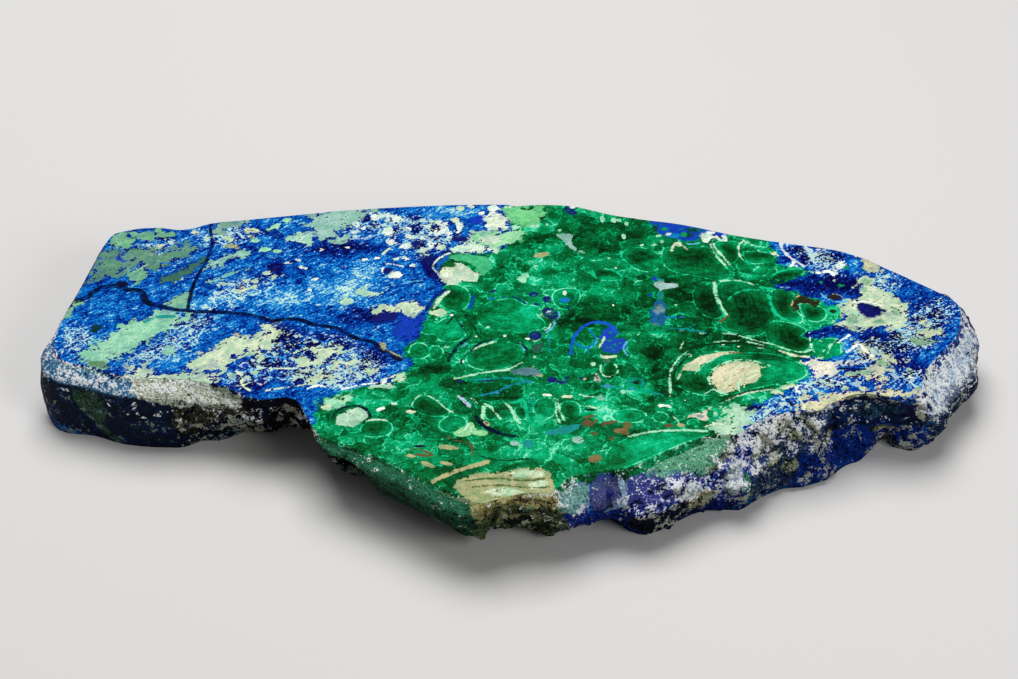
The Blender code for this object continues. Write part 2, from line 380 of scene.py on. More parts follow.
# Cracks through the azurite.
line(INK, 2.1, -134, 18, -132.5, 18.6, -129.7, 19.5, -127.5, 21.4, -126.9, 23.3, -125, 25.1,
     -123.8, 26.2, -120.9, 26.7, -118.4, 26.1, -116.6, 24.5, -113.1, 24.5, -111.3, 22.6,
     -110.9, 19.5, -108.4, 17.3, -104.7, 16)
line(INK, 1.6, -104.7, 16, -101.3, 14.7, -95, 13.9, -90, 13.5, -85, 13.3, -80, 12.5, -76.7, 11.7,
     -74.7, 10.7, -72.3, 9.2, -70.7, 8.8, -68.3, 10, -65, 10, -62, 9.5, -59.9, 7.7, -55.8, 6.7,
     -51.7, 5.6, -48.9, 3.6, -46.5, 1.1, -43.4, -0.2, -40.6, -0.9, -38.9, -3.3, -37.9, -5.4,
     -35.8, -6.1, -34.1, -8.2, -32, -9.6)
line(INK, 1.0, -94.3, 59.3, -94.2, 55.7, -93.3, 52.3, -92.8, 49.3, -92.8, 46, -93.3, 43.3,
     -93.5, 40.3, -94.5, 36.7, -95.3, 34, -96.2, 29.3, -96.7, 25.3, -97, 20, -97.1, 14.5)
spots_of(INK, (-118.5, 27.7, 1.6, 1.1), (-110.6, 20.2, 1.0, 1.8))

# Pale matrix at the left end.
patch(SEA, -124.8, 53.5, -122, 55, -120.5, 53.5, -119.5, 51.5, -116.8, 50.5, -117, 48.8,
      -119.5, 46.6, -122.5, 47.5, -124.4, 49)
patch(SEA, -119.5, 56, -118, 56.4, -117, 54.5, -114, 55, -112, 54.5, -111.6, 50, -113, 50.6,
      -114.8, 50.5, -117, 52, -118.8, 53)
patch(SEA, -111.8, 56.9, -109.5, 57, -109, 54.5, -107, 55.5, -105, 54, -105, 52.8, -108, 52,
      -110.5, 52.8, -111.5, 55)
patch((104, 150, 122), -126.5, 44, -122, 45, -116, 45.6, -111, 45, -108.5, 45.4, -104, 46.5,
      -99.5, 48.5, -97.5, 48.3, -98.3, 45, -101, 42.5, -104.5, 41, -106.5, 37.5, -109.5, 35.2,
      -112.5, 36, -114.5, 38, -117.5, 37, -119.5, 35, -120, 31.5, -123, 32, -124.5, 30, -129, 27,
      -129.5, 30, -128.3, 36, -127.3, 40)
patch(ROYAL, -122.6, 43.2, -121.6, 42.6, -118.6, 39.4, -119.4, 38.6, -121.8, 40.6)
patch((92, 136, 110), -128.4, 33, -125.5, 34.4, -122, 36, -119, 34.6, -120.4, 32.2, -123.4, 32.4,
      -125.6, 30.4, -129, 28)
patch(SEA, -117.5, 35, -114, 35.5, -111, 34, -111.5, 31.5, -114, 28.2, -116, 29, -117, 32)
spots_of(CREAM, (-109, 47.7, 2, 0.8), (-99.2, 54.8, 1.3, 1.2), (-81.5, 56, 3, 1.3, 5),
         (-91, 50.3, 1, 0.9), (-89, 52, 1, 0.9), (-87, 50.8, 1, 0.8), (-80.8, 29.2, 1.1, 0.9),
         (-78.2, 29, 1, 0.8), (-78, 26, 1, 0.9), (-74.5, 33, 1.1, 0.9), (-72, 31.8, 0.9, 1),
         (-69.7, 32.2, 1, 0.8), (-76, 31, 0.9, 0.8), (-87.5, 28, 1, 0.8), (-81, 52.4, 1.2, 0.6))
patch((136, 172, 150), -93.7, 58.3, -93, 60, -90, 60.8, -79, 62, -81, 61.3, -83.3, 59.7, -85, 58,
      -86.7, 58, -90, 56.7, -91.3, 53.3, -92.3, 52, -93.5, 54.7)
spots_of(MINT, (-80, 50.5, 1.5, 1.2), (-76, 45.4, 2.3, 1.2, 10), (-72, 44.7, 1.5, 1),
         (-70.5, 61.5, 1.5, 1.2))
spots_of(TAN, (-86, 47.3, 1.8, 1.3), (-81, 2, 1.3, 1), (-81.5, 55.8, 1.4, 0.6))
patch(MINT, -76.7, 56, -73.5, 60.5, -72, 59.5, -72.5, 57, -75, 55.8)
patch((146, 196, 176), -95, 35, -94, 34.5, -91, 36.2, -88, 38.8, -86, 40.5, -82, 41.5, -80.5, 42.5,
      -81, 44.5, -84.5, 45, -87, 42.5, -89, 42, -92.5, 39.8, -93.3, 38, -94.7, 36)
patch(OLIVE, -107, 28, -103, 28.5, -98, 33, -94.5, 39, -94.5, 41.5, -97, 39, -99.5, 36.5,
      -103.5, 32.5, -107, 31.5)
patch((124, 188, 182), -93.8, 28, -92.5, 30, -89.5, 30.5, -86, 33.5, -82.5, 34.5, -80, 35.5,
      -79.8, 34, -84, 33, -87, 31, -89.5, 28.8, -92, 28)
patch(CREAM, -83.2, 24.5, -82.5, 27, -80.5, 26.5, -79.3, 25.2, -79.5, 23.5, -81.2, 22, -82, 21.3,
      -83.4, 23.2)
patch((136, 188, 152), -97.3, 14.8, -97.2, 22.5, -98.5, 23, -101, 21.5, -104, 18.5, -105.5, 17.3,
      -102.8, 16.5, -100, 15.2)
patch(SEA, -132.8, 19.5, -132.3, 17, -134.2, 11, -133, 10.7, -131.3, 12.3, -131.4, 15, -130, 17,
      -127.5, 18.8, -127, 20.8, -129.5, 18.6)
patch((156, 212, 176), -127.8, -6.5, -126.5, -5, -124, -5.2, -123, -3.2, -121.2, -1, -119.5, 0.8,
      -119, 3, -117, 4.5, -115, 7.3, -113.2, 7.8, -111.5, 9.5, -109.6, 10.8, -107.2, 13.2,
      -106, 15, -102.5, 13.4, -98, 13.5, -95.2, 12.8, -96, 10.5, -99.5, 8.5, -101, 6, -104, 4.2,
      -105.4, 1, -107, -0.4, -110.5, -2, -112.5, -4.5, -113, -7.5, -115.5, -8.8, -118, -10.5,
      -117.5, -14, -121, -13.8, -124, -11.5, -124.5, -8, -127, -7.4)
patch((100, 138, 102), -124, -10, -119, -10.5, -117.4, -12, -117.5, -14, -121, -13.8, -124, -11.5)
line(TEAL, 1.4, -109.5, 8.7, -107, 10.4, -104, 11.2, -100.8, 11.4)
patch((194, 212, 184), -112.5, -19, -111.5, -13, -109, -11.5, -107, -11.5, -106.5, -13.5,
      -104, -15.3, -100, -16.5, -93.7, -17, -92.3, -15.7, -83.7, -16, -84.3, -18.3, -85.7, -21,
      -82.7, -23, -86, -24, -95, -22, -104, -21)
patch(WHITE, -86, -22, -83.5, -22.5, -82, -25, -80.3, -29, -82, -28.5, -84, -25.5, -85.5, -24.5)
line(INK, 0.4, -93.3, -18.3, -90, -21.3)
patch((150, 200, 178), -102, -6.5, -100.8, -3.2, -98.6, -3.4, -98.4, -6.8, -100.5, -7.9)
patch(CREAM, -73.5, 7.5, -72, 8, -70.8, 7.3, -69.8, 5.5, -68.5, 5.3, -68.3, 3, -69, -0.5,
      -69.7, -2, -66.5, -4.2, -68, -3.5, -71.5, -3.7, -71.8, -5, -73.3, -7.5, -74, -6, -75.3, -5,
      -78.5, -5.5, -79, -7.5, -81, -9.2, -82.5, -11.5, -83.3, -14.7, -88.5, -14.5, -92, -14.5,
      -94.7, -13.5, -93.5, -11.5, -91.8, -11, -91, -9, -91.3, -6.7, -87, -4.7, -84.7, -2.2,
      -84.5, -0.5, -83, 1.5, -82, 2.3, -78, 1, -75.5, 2, -74.5, 3.5, -73, 4.7)
spots_of(FOREST, (-81, -7.8, 0.5, 0.8), (-123.3, 5.3, 2.2, 1.4, 30))
patch((184, 222, 198), -70.3, 50.3, -68.5, 53, -66, 55, -64.5, 54.3, -63.5, 54.8, -62.5, 56.5,
      -61.8, 55, -62, 52.5, -61, 49.5, -65, 48.8, -69, 49.3)
patch((156, 196, 180), -63, 62, -63.8, 64, -60, 65.8, -52, 67.4, -42.3, 68.6, -42.3, 66, -44, 65.6,
      -46.3, 64.2, -47.8, 62, -50.2, 60.3, -50.5, 57, -55.3, 56.4, -55.6, 55.2, -52.7, 54.2,
      -50.6, 51.3, -52.3, 49.4, -54.2, 49.8, -55.2, 51.4, -58.7, 50.7, -60.5, 50.7, -61.2, 53.5,
      -62.5, 56, -63.5, 59)

# White and cream fragments in the azurite, up to the malachite.
spots_of(WHITE, (-68, 38.7, 1.6, 0.8, 20), (-65.5, 40, 1, 0.7), (-64.5, 36, 0.9, 0.8),
         (-62.7, 35.7, 0.8, 0.8), (-59, 30, 1, 0.8), (-60.5, 24.5, 0.9, 0.8),
         (-58.3, 45.5, 1.1, 0.8), (-50.4, 47, 1, 0.7), (-50.5, 36.3, 1, 0.8),
         (-44.5, 40.3, 1, 0.9), (-41, 41, 1.1, 0.8), (-32, 40.5, 0.9, 0.9), (-35, 40.7, 0.9, 0.8),
         (-30, 37, 1, 0.8), (-42.7, 63, 1.5, 1.3), (-48, 59, 0.7, 1.5), (-45.5, 57, 0.9, 0.9),
         (-48.5, 55, 0.9, 0.8), (-38.8, 64.3, 1, 1), (-35.7, 62.3, 1.4, 2.2),
         (-36.8, 50, 1.8, 1.7), (-32.7, 47.3, 1.5, 1.7), (-31.4, 56.8, 1.3, 1), (-30, 51.5, 1, 1),
         (-27.5, 51.8, 1, 0.9), (-31.8, 52.8, 1, 0.8), (-24, 47.7, 1.3, 2), (-16.5, 46, 1.3, 1.2),
         (-26.5, 57.5, 1.3, 1.1), (-24, 54.5, 1.3, 1), (-16, 56, 0.8, 3), (-5, 68, 2, 1.9),
         (-1, 67.5, 0.8, 1.2), (-12, 69, 1.3, 1), (-8.6, 65.5, 1.3, 1.2), (-5, 62.5, 3.2, 3.8),
         (-4, 58, 3.8, 2.4), (-36, -20, 2, 1.4, 20), (-34.7, 32, 2.4, 1.6, 10))
patch(CREAM, -38.6, 58.8, -36.2, 56, -35.6, 54.5, -36.5, 53, -39, 53.3, -40, 54.5, -39.3, 56.5)
patch(MINT_CREAM, -27, 47.5, -26, 46, -27, 42.3, -28, 45.5)
patch(WHITE, -23, 60.5, -22, 60.8, -20.5, 59.5, -18.8, 58, -18.5, 55.5, -17.3, 53, -18, 51.5,
      -19.5, 52, -22, 52, -23.2, 53.5, -22.3, 56, -23, 58)
spots_of(CREAM, (-21.5, 47, 1.3, 1.5), (-15.5, 68, 1.3, 1.2), (-17, 61.5, 1.2, 1.6),
         (-40, -15, 2.3, 1.3, 10), (-32, -18, 2.6, 1.7), (-21.5, 13, 2.4, 1.8))
line(MINT_CREAM, 0.9, -39.5, 43, -37.5, 46)
patch(CREAM, -62.3, -13.4, -61, -9, -58.9, -9.2, -55.1, -10.2, -55.8, -11.6, -58.9, -13)
patch(CREAM, -59.9, -2.7, -57.9, -2.5, -56.8, -4, -54.4, -1.8, -52, -3.3, -50.6, -4.7, -48.7, -4,
      -49.1, -6.1, -51.3, -7.8, -53, -9, -55.1, -9.2, -55.8, -7.5, -57.9, -5.4, -59.6, -4.4)
patch(CREAM, -51.7, -10.2, -49.2, -9.6, -46.8, -10.2, -44.8, -8.9, -45.4, -11.3, -47.2, -13.7,
      -48.2, -11.6, -50.3, -12, -51.3, -14.2)
patch(CREAM, -56.8, -15.8, -55.1, -16.4, -50.3, -17.1, -50.6, -18.5, -52.7, -18.2, -55.4, -20.2,
      -58.2, -20.9, -58.6, -18.9, -56.5, -18.2)
patch(CREAM, -40.6, 12.9, -39.9, 14.6, -37.9, 17, -36.5, 17.2, -34.8, 16.3, -33.4, 18, -31.7, 19.6,
      -30.6, 18.7, -26.8, 18.6, -27.2, 17, -25.4, 15.3, -26.1, 13.7, -27.9, 12.5, -28.6, 11.1,
      -31.3, 11.1, -32.7, 13.6, -35.1, 12.9, -37.9, 13.6, -39.6, 11.8)
patch(MINT_CREAM, -46.8, 26, -44.8, 26.3, -44.1, 24.2, -38.2, 23.2, -39.9, 21.8, -42.7, 20.4,
      -44.8, 22.2, -47.2, 23.6)
patch(MINT_CREAM, -49.2, 21.1, -46.5, 20.1, -47.2, 18, -50.6, 17, -52, 18.7)
patch(TAN, -38.2, -1.3, -36.8, -1.5, -36.4, -5, -34, -6, -31.3, -9.5, -33, -8.5, -35.5, -6.3,
      -38, -4.9)
spots_of(MINT_CREAM, (-81.2, -16.8, 1.2, 1.1), (-74.5, -15.7, 1.2, 1.1))
line(LILAC, 0.5, -50, 51.2, -46, 51.5, -42.5, 52.8)
line(SKY, 0.7, -38.5, 25.5, -35, 27, -31, 28.5, -26.7, 29.5)
line(CREAM, 0.7, -75.5, -13.7, -72, -13.2, -68, -13.8, -62, -13.7)
line(CREAM, 0.6, -70, -24, -66, -22.8, -62, -22, -59, -21)
line(WHITE, 0.7, -58.2, -23, -55.1, -21.3, -53.7, -22)
line(WHITE, 0.8, -48.2, -23.3, -42.7, -21.3, -38.2, -20.4)
line(WHITE, 0.7, -38, 38, -36.5, 38.3, -32.7, 36.5)
line(CREAM, 0.6, -79.6, -15, -77.4, -18, -78, -21, -75, -24)
line(CREAM, 0.6, -80.4, -22, -77, -21.6, -73, -19)
line(LILAC, 0.5, -79, -12.4, -77.4, -10.7, -75.7, -12.2, -77, -14.1, -79, -12.4)
spots_of(ROYAL, (-77.2, -12.4, 1.4, 1.4))

# Deep azurite.
shade(0.75, (-108.2, 51.5, 3, 1.6), (-123, 48, 2.6, 1.2, -20), (-72, 36, 3.4, 3), (-52, 46, 12, 5),
      (-72.5, 52.5, 2, 1.5), (-77, 55, 2, 1.5), (-75, -22.5, 5, 3), (-71, -11, 5, 2.6),
      (-28.5, 48, 2.6, 2.6), (-40, -9, 4, 4), (-62, -4, 5, 6), (-25.5, 40, 2.4, 6, 15),
      (-23, 33, 2.4, 4, -30), (-44, 12, 7, 4), (-66, 2, 4, 5), (-50, -1, 8, 3, -20),
      (-60, -17, 9, 4))
patch(NAVY, -41.3, 9.8, -39.6, 12.2, -37.2, 13.2, -34.4, 13.6, -32.3, 12.2, -33.7, 10.4,
      -35.8, 8.7, -38.6, 7.7, -40.6, 8.4)
patch(ROYAL, -33.6, 11, -32, 12.6, -29.5, 10.6, -26.8, 11.4, -25.4, 9.6, -27, 6, -26.4, 2.6,
      -28, 0.4, -31, -0.6, -33.4, 2, -34, 6)
patch(ROYAL, -13, 62, -11.5, 63, -10, 64, -8, 63.5, -8.2, 60.5, -9.5, 60, -11.5, 59.5, -13, 61)
spots_of(NAVY, (-1.3, 65, 0.6, 1), (-71.8, -19.7, 1.6, 1.5), (-37.5, 34.5, 1.5, 1.4),
         (-72, 36.2, 1.8, 1.4))
line(WHITE, 0.5, -38.8, 36, -39.4, 34.4, -38.6, 33)
line(LILAC, 0.5, -73.8, -19.7, -71.8, -17.8, -69.9, -19.6, -71.8, -21.7, -73.8, -19.7)
shade(-0.7, (-45.5, 32, 6, 9), (-53, 23, 9, 5), (-88, 20, 14, 3, 25), (-70, 20, 8, 5))
shade(-0.4, (-120, 0, 6, 3, 30), (-100, -10, 9, 3, 10), (-18, 66, 9, 4))

# Pale matrix along the malachite's upper left.
patch(MINT_CREAM, -11.5, 54.5, -10, 55.5, -5, 56, -2, 56.5, -0.5, 55, -0.5, 52, 0.5, 50,
      -1.5, 48.5, -2.5, 47, -5, 45.5, -7.5, 43.8, -11, 43.5, -13, 45, -15, 46.5, -15, 49.5,
      -13, 49, -12.3, 51, -13, 53.5)
patch(CREAM, -0.3, 69.5, 2, 69, 2.5, 61, 0.5, 60.5, -0.8, 63, -0.5, 67)
patch((128, 188, 122), 2.5, 68.5, 5, 67.5, 8, 69.5, 11, 69.5, 11.8, 64, 11, 61.5, 10, 60.5, 8, 60,
      6, 60.5, 5.5, 63, 3, 60.3, 2.5, 61)
spots_of(CREAM, (6.2, 65.5, 0.7, 1.6), (9, 63.5, 1.6, 1.6), (8.2, 61.5, 0.8, 0.8),
         (-8.5, 47.5, 2.8, 2.4), (-6.5, 50.5, 2, 1.6))
spots_of(MINT, (8, 58.5, 1.8, 1.5), (2, 57.5, 1.8, 1.4), (2.6, 53, 0.7, 2, -25),
         (0.5, 53, 0.5, 1.8, -10), (-14, 41, 2, 1.4), (-9, 41.5, 1.1, 0.8), (8.2, 36.8, 0.8, 0.6),
         (16, 56, 0.5, 0.7), (12, 59, 0.5, 0.8))
patch(CREAM, -21.6, 34.4, -20.5, 36.2, -17.5, 36.6, -15, 36, -12.5, 36.5, -11, 34.5, -9.5, 32,
      -9.8, 29.5, -11.5, 28.6, -12.5, 30, -15, 30.5, -17.5, 30, -19.4, 31, -21, 32.4)
patch(MINT, 3.5, 33, 4.2, 32, 2, 30.5, 4.2, 28, 5.2, 28.5, 5.5, 31, 6.3, 31.8, 6, 33)
spots_of(TAN, (10, 42.8, 2.8, 1.3, 20))
patch(GREY, 14.8, 54, 19.8, 54, 20.2, 52.5, 19.5, 50.5, 19.8, 48.5, 21.5, 45.5, 24.5, 44,
      23.3, 43.6, 21, 44.8, 19.5, 46, 17.8, 48, 17.5, 50, 16.5, 51.3, 15, 53)
patch(NAVY, 17, 68, 19, 69.5, 20.5, 68, 21.8, 65.5, 21, 63.5, 19.5, 64.5, 18, 66)
spots_of(WHITE, (20.3, 68.7, 1, 0.8))
spots_of(MINT, (29.6, 62, 0.7, 2), (33.2, 61.4, 0.9, 1.5), (34.8, 61.5, 0.7, 0.9),
         (36, 52.5, 0.8, 1.7), (37.2, 59.5, 0.6, 1.1))

flecked(1.0, (-82, 24, 16, 7, 35), (-60, -8, 20, 12), (-52, -18, 12, 8), (-105, -8, 12, 5, 30),
        (-96, 6, 9, 7, 30), (-76, -18, 8, 6), (-42, 60, 20, 8), (-25, 50, 10, 10),
        (-112, 42, 14, 9, 20), (-88, 52, 10, 8), (-128, 0, 6, 8))
flecked(0.45, (-50, 21, 16, 5, 10), (-43, 31, 9, 8), (-42, -14, 9, 6), (-33, 12, 9, 7),
        (-100, 30, 12, 5, 35), (-70, 45, 9, 5, 20))

# Rounded malachite growths, and the fine light rims between them.
lobe(-18, 28, -13.5, 26, -11.5, 22, -12.5, 16, -16, 13.5, -20, 15.5, -22.3, 20, -20.5, 25)
lobe(-17, 11, -14.8, 8, -13.5, 5, -12.7, 2, -15, -1, -19, -1.5, -22, 1, -22.6, 6, -20, 10)
lobe(-10, 13, -8, 16.5, -6, 18.5, -3, 19.5, 0, 20.3, 2.5, 19.5, 4.5, 17, 6.5, 17, 8.5, 16.5,
     10, 14, 8.5, 13, 8.5, 11.5, 10, 10, 11, 8, 10.5, 5.5, 9.5, 4.5, 8, 4.8, 6, 4, 4.5, 3, 2, 3.5,
     0, 4.5, -3, 4.5, -6, 5, -8, 6.5, -9.5, 9)
lobe(-26.5, 9.5, -22.5, 9.5, -20.8, 6, -22.4, 2.6, -25.4, 2.4, -27, 5.4)
lobe(-29.4, -3, -26.5, -1.2, -23.6, -3.4, -23.4, -7.6, -26.4, -9.7, -29.4, -8)
lobe(-23.2, -3, -20.6, -3, -19, -6.4, -20.8, -10, -23.6, -9.4)
lobe(-12, -5, -8, -2, -3, -1, 2, -1.6, 4, -4, 4.6, -8, 2, -12, -3, -14, -9, -14.5, -13, -11)
lobe(13, 24, 19, 26, 22, 24, 21, 17, 17, 14, 13.5, 17)
lobe(36, 45.5, 34.6, 42, 36.4, 38.6, 39.4, 35, 43, 33.6, 46, 35, 47.6, 39, 46.8, 43, 43.6, 46,
     39.6, 47)
lobe(38.4, 31, 40, 32.8, 42.4, 32.4, 43, 30.6, 41.4, 29.2, 39.2, 29.4)
lobe(26, 34, 28, 35.6, 31.4, 35, 34.2, 32.4, 34.8, 30, 31, 29, 27, 30)
lobe(56.5, 25.4, 55.6, 21, 56.4, 16, 58.6, 11.6, 62, 9.6, 65, 12, 63.4, 16, 62.7, 20, 62.3, 25,
     61.6, 28.4, 59, 28.6)
lobe(63.6, 28.4, 68, 29.4, 71, 29, 75, 27, 78, 24.8, 78.9, 20, 79.2, 15, 80.4, 11, 78, 6, 75, 1.6,
     70, 2, 65, 4, 62.6, 7, 65.6, 11.8, 64.2, 16, 63.4, 21)
lobe(80, 24.8, 83.4, 24.8, 87, 23, 86.2, 20, 85.6, 16.6, 87, 13.4, 88.6, 10, 87, 7.6, 84, 9,
     81, 11.4, 79.8, 15, 79.4, 20)
lobe(87.6, 17.6, 89.6, 17.8, 92.6, 16.8, 95.2, 15.6, 95.8, 12, 94, 8.8, 90.6, 8.6, 88.4, 11)
lobe(95.7, 13.8, 96.6, 15.6, 98.6, 15.7, 99.8, 13.8, 98.7, 11.9, 96.7, 12)
lobe(76.6, 5, 77.6, 8, 80, 9.3, 84, 8.4, 87, 6.6, 89.4, 4.4, 86, 1.4, 89.3, 0.4, 89.2, -4,
     86, -6.2, 82.6, -5, 78.4, -2.4, 76, 0)
lobe(90, 0.7, 97, 0.6, 98.8, -1, 98, -4, 97.8, -7, 95.4, -9, 93, -9.8, 91, -8.8, 89.8, -5.6)
lobe(64.8, 50, 64, 47.4, 65, 44.4, 66.8, 41, 68.6, 37.4, 70.2, 39, 71.6, 42.6, 71.4, 46,
     72.6, 49.4, 69.4, 50.4)
lobe(72.6, 45, 73, 41, 74.6, 38.4, 78, 38, 82, 39.4, 83, 42.4, 80, 44.2)
lobe(75, 34, 77, 36.6, 80, 36.4, 80.4, 33.6, 78, 31.4, 75.6, 31.8)
lobe(80, 31.2, 83, 34, 87.4, 35.6, 91.6, 35, 90, 32.2, 86.4, 29.8, 82, 29.4)
lobe(47.8, 47.4, 52, 45.8, 57, 46.8, 62.4, 47.4, 63.4, 43.4, 65.6, 39, 67.8, 35, 68.2, 31, 64, 29,
     58, 31.6, 51, 33.4, 47.4, 37.4)
lobe(-7, -31, -5.2, -30.6, -4, -33, -3.6, -36.2, -5.2, -37.6, -6.8, -36)
lobe(1.6, -31.4, 4.2, -31, 5, -34, 5, -36.8, 3.4, -37.4, 1.8, -34.6)
lobe(6.8, -30.6, 8.6, -27.4, 11.6, -27, 13.3, -29.4, 13.4, -33, 12.4, -36, 9.4, -36.6, 7.2, -34.4)
lobe(14.6, -30, 17, -28.4, 20, -29.6, 20.6, -33, 19.6, -37, 16, -36.6, 14.6, -33.6)
lobe(27.2, -13.4, 28.6, -11.4, 31, -11.8, 32, -14.5, 31, -16.6, 28.4, -17.8)
lobe(28.8, -35.4, 30.4, -33, 34, -32.2, 38, -33, 39.4, -35.2, 38, -37.8, 34, -38.6, 30.4, -37.8)
lobe(40.6, -36, 41.6, -34, 44, -33.6, 45.8, -35.4, 45, -38, 42.4, -38.6)
lobe(50.6, -38.5, 51.4, -36.9, 53.4, -36.8, 54.5, -38.5, 53.5, -40.3, 51.5, -40.2)
lobe(-28.3, -31.2, -26.6, -27, -24.4, -25.8, -21.2, -28, -19, -31.2, -16.3, -34, -20, -36,
     -25, -35)
lobe(-20.6, -39, -18.6, -42.4, -14.6, -42.8, -11.6, -39.6, -12.8, -35.6, -17, -34.8)
lobe(-42.4, -41, -40.4, -37.4, -36, -36.8, -32.8, -39.4, -33.4, -43.6, -38, -45, -41.6, -44)
lobe(26.6, -54.5, 27.7, -50.5, 30.5, -47.3, 35.5, -44.1, 41.8, -42, 48.6, -41.8, 55.5, -42.3,
     58.2, -42.9, 50, -46.8, 42.7, -51.4, 32.7, -57.7, 27, -60)
shade(0.9, (57, 41, 7, 5), (61, 18, 3.5, 8), (72.5, 14, 6.5, 9, 10), (83, 18, 2.6, 6),
      (92, 13.5, 2.8, 2.6), (83, 3, 5, 4, -30), (85, -2, 4, 3), (68.5, 44, 2.6, 5, 25),
      (77.5, 42.6, 4, 1.6), (84.5, 32, 4, 1.8, 15), (40.8, 31, 2.6, 1.8), (30, 33, 4, 1.6),
      (41, 41, 3.4, 4), (29.4, -14.6, 2, 2.6))
shade(0.7, (14, 64, 5, 4.5), (8, 50, 6, 2.4, 40), (-2, 38, 2.6, 7), (23, 50, 5, 6), (28, 46, 3, 5),
      (13, 33.6, 4, 1.4), (12, 27, 3, 2), (-16.5, 22, 4, 3), (25, 60, 5, 4), (38, 54, 6, 5),
      (32, 46, 4.5, 4.5), (22, 14, 6, 7), (19, 6, 5, 6), (38, 12, 8, 6), (52, 22, 5, 7),
      (42, -6, 5, 4), (45, -18, 4, 9, 15), (54, -21, 6, 4), (67, 0, 10, 3, -8),
      (57, -2, 8, 2.5, 15), (70, -32, 3, 2), (-18.5, 38.5, 2.6, 2), (-20, 28, 2, 3),
      (-21, -14, 7, 3), (-2, -25.5, 7, 3, 25), (-12, -22, 7, 3), (1.5, -27.4, 2, 0.7),
      (42, -27.6, 4, 1.6, -10), (24, -24, 5, 3), (-37.5, -40.8, 4, 3), (-22.6, -31.5, 4.5, 3, -30),
      (-6, -41, 5, 2, -40), (-46, -36, 6, 5), (-25.5, -38, 4, 3), (17.6, -33, 2.6, 4.5),
      (-5.4, -34, 1.4, 3), (3.2, -34, 1.6, 2.8), (-1.6, -34.5, 1.4, 4), (58, -42.4, 8, 1.6, 10),
      (35, -43.8, 7, 1.6, 25), (76, -8, 9, 2.4, -10), (63, -28, 5, 2, 30))
shade(-0.7, (10, 38, 4, 4), (16, 37, 3, 1.6), (14, 46, 4, 2), (-6, 40, 4, 3), (28, 41, 4, 2.5),
      (7, 57, 3, 2.5), (13, 59.5, 3.6, 2.4), (7, 14, 4, 4), (3, 11, 7, 6), (40, 2.4, 7, 1.4),
      (30, 22, 4, 3), (-12, 26, 5, 2, -20), (-18, 5, 3.4, 5), (-24, 6, 2, 2),
      (43.8, 38.5, 1.8, 1.8), (41.5, 41.5, 1.3, 1), (30.5, 30.6, 2.2, 1.5), (46, 51, 3, 1.6),
      (76, 47.4, 6, 1.6, -20), (66, 46, 1.4, 4), (73.5, 31.7, 2.4, 1.4), (77.5, 35, 2.4, 1.6),
      (96, 10, 3, 3), (94, -4, 4, 4), (84, 42, 1.6, 3), (62, -9, 8, 3, 10), (80, -14, 8, 5, -10),
      (56, -13, 3, 4, 50), (72, -26.5, 6, 2.6, 15), (88, 8.4, 3, 2.6), (80.4, 8, 2, 2),
      (23, -33, 5, 4), (8, -37.5, 3, 3), (2, -39, 4, 3), (-3, -29.5, 3, 1), (-16.1, -38.9, 5, 4),
      (-46, -30, 7, 4), (-40, -26, 9, 3, -10), (46, -28.5, 3.5, 1.8), (20, -47, 8, 4, 20),
      (30, -35, 4, 4), (45, -46, 12, 3.4, 18), (27, -29, 3, 4), (8, -50, 9, 4),
      (-30, -45, 8, 4, -20), (-27, -20, 5, 3), (-15, -10, 4, 3), (62, -34, 4, 4),
      (86, 37.6, 3, 0.8), (36, -23, 4, 2), (8, 30, 3, 3))
line(MINT, 1.2, 63, 28.4, 62.8, 24, 62.9, 21, 63.8, 18)
line(MINT, 0.8, 63.8, 18, 64.5, 15.5, 65.6, 12)
line(BROWN, 0.6, 65.9, 11.6, 63.3, 8.5)
line(BRIGHT, 1.0, 79.2, 25, 79, 20, 79.5, 15, 81, 11, 84, 9, 87.5, 7, 89.6, 4.9)
line(BRIGHT, 0.7, 76, 27.5, 78, 25.5, 80.5, 25.2)
line(BRIGHT, 0.6, 66.5, 20, 68, 22, 70, 23.6, 73, 24.8, 76, 24.6)
line(MINT, 0.5, 64.5, 29, 68, 29.6, 71, 29.3, 75, 27.2)
line(MINT_CREAM, 0.54, 63, 48.5, 63.3, 46, 64, 43.5, 65.2, 40.5, 66.8, 37.3)
line(MINT_CREAM, 0.54, 64, 51.5, 63.8, 49, 64.5, 46, 66, 43, 67.3, 40, 68.4, 37.4)
line(BRIGHT, 0.5, 68.5, 37, 70, 34.5, 72, 33, 74.6, 32)
line(BRIGHT, 0.5, 66.8, 36, 68.5, 34, 69.2, 32, 68, 30.8, 66.4, 30.2)
line(MINT_CREAM, 0.5, 73.6, 50.4, 72, 48.5, 71.5, 45, 71.8, 42, 72.5, 40.2)
line(BRIGHT, 0.5, 72.5, 40, 74.5, 37.8)
line(BRIGHT, 0.5, 79.6, 30, 81.4, 32.6, 85, 34.8, 90, 35.6)
line(BRIGHT, 0.5, 60, 27, 61.5, 28.7, 62.4, 28.6)
line(BRIGHT, 0.5, 25.8, 34.8, 25.4, 33, 27, 30.2)
line(BRIGHT, 0.6, 31.4, 35.6, 33.6, 33.2, 35.2, 31, 34, 29)
line(BRIGHT, 0.6, 38.4, 35.6, 36, 39.6, 34.4, 43, 35.2, 46.6)
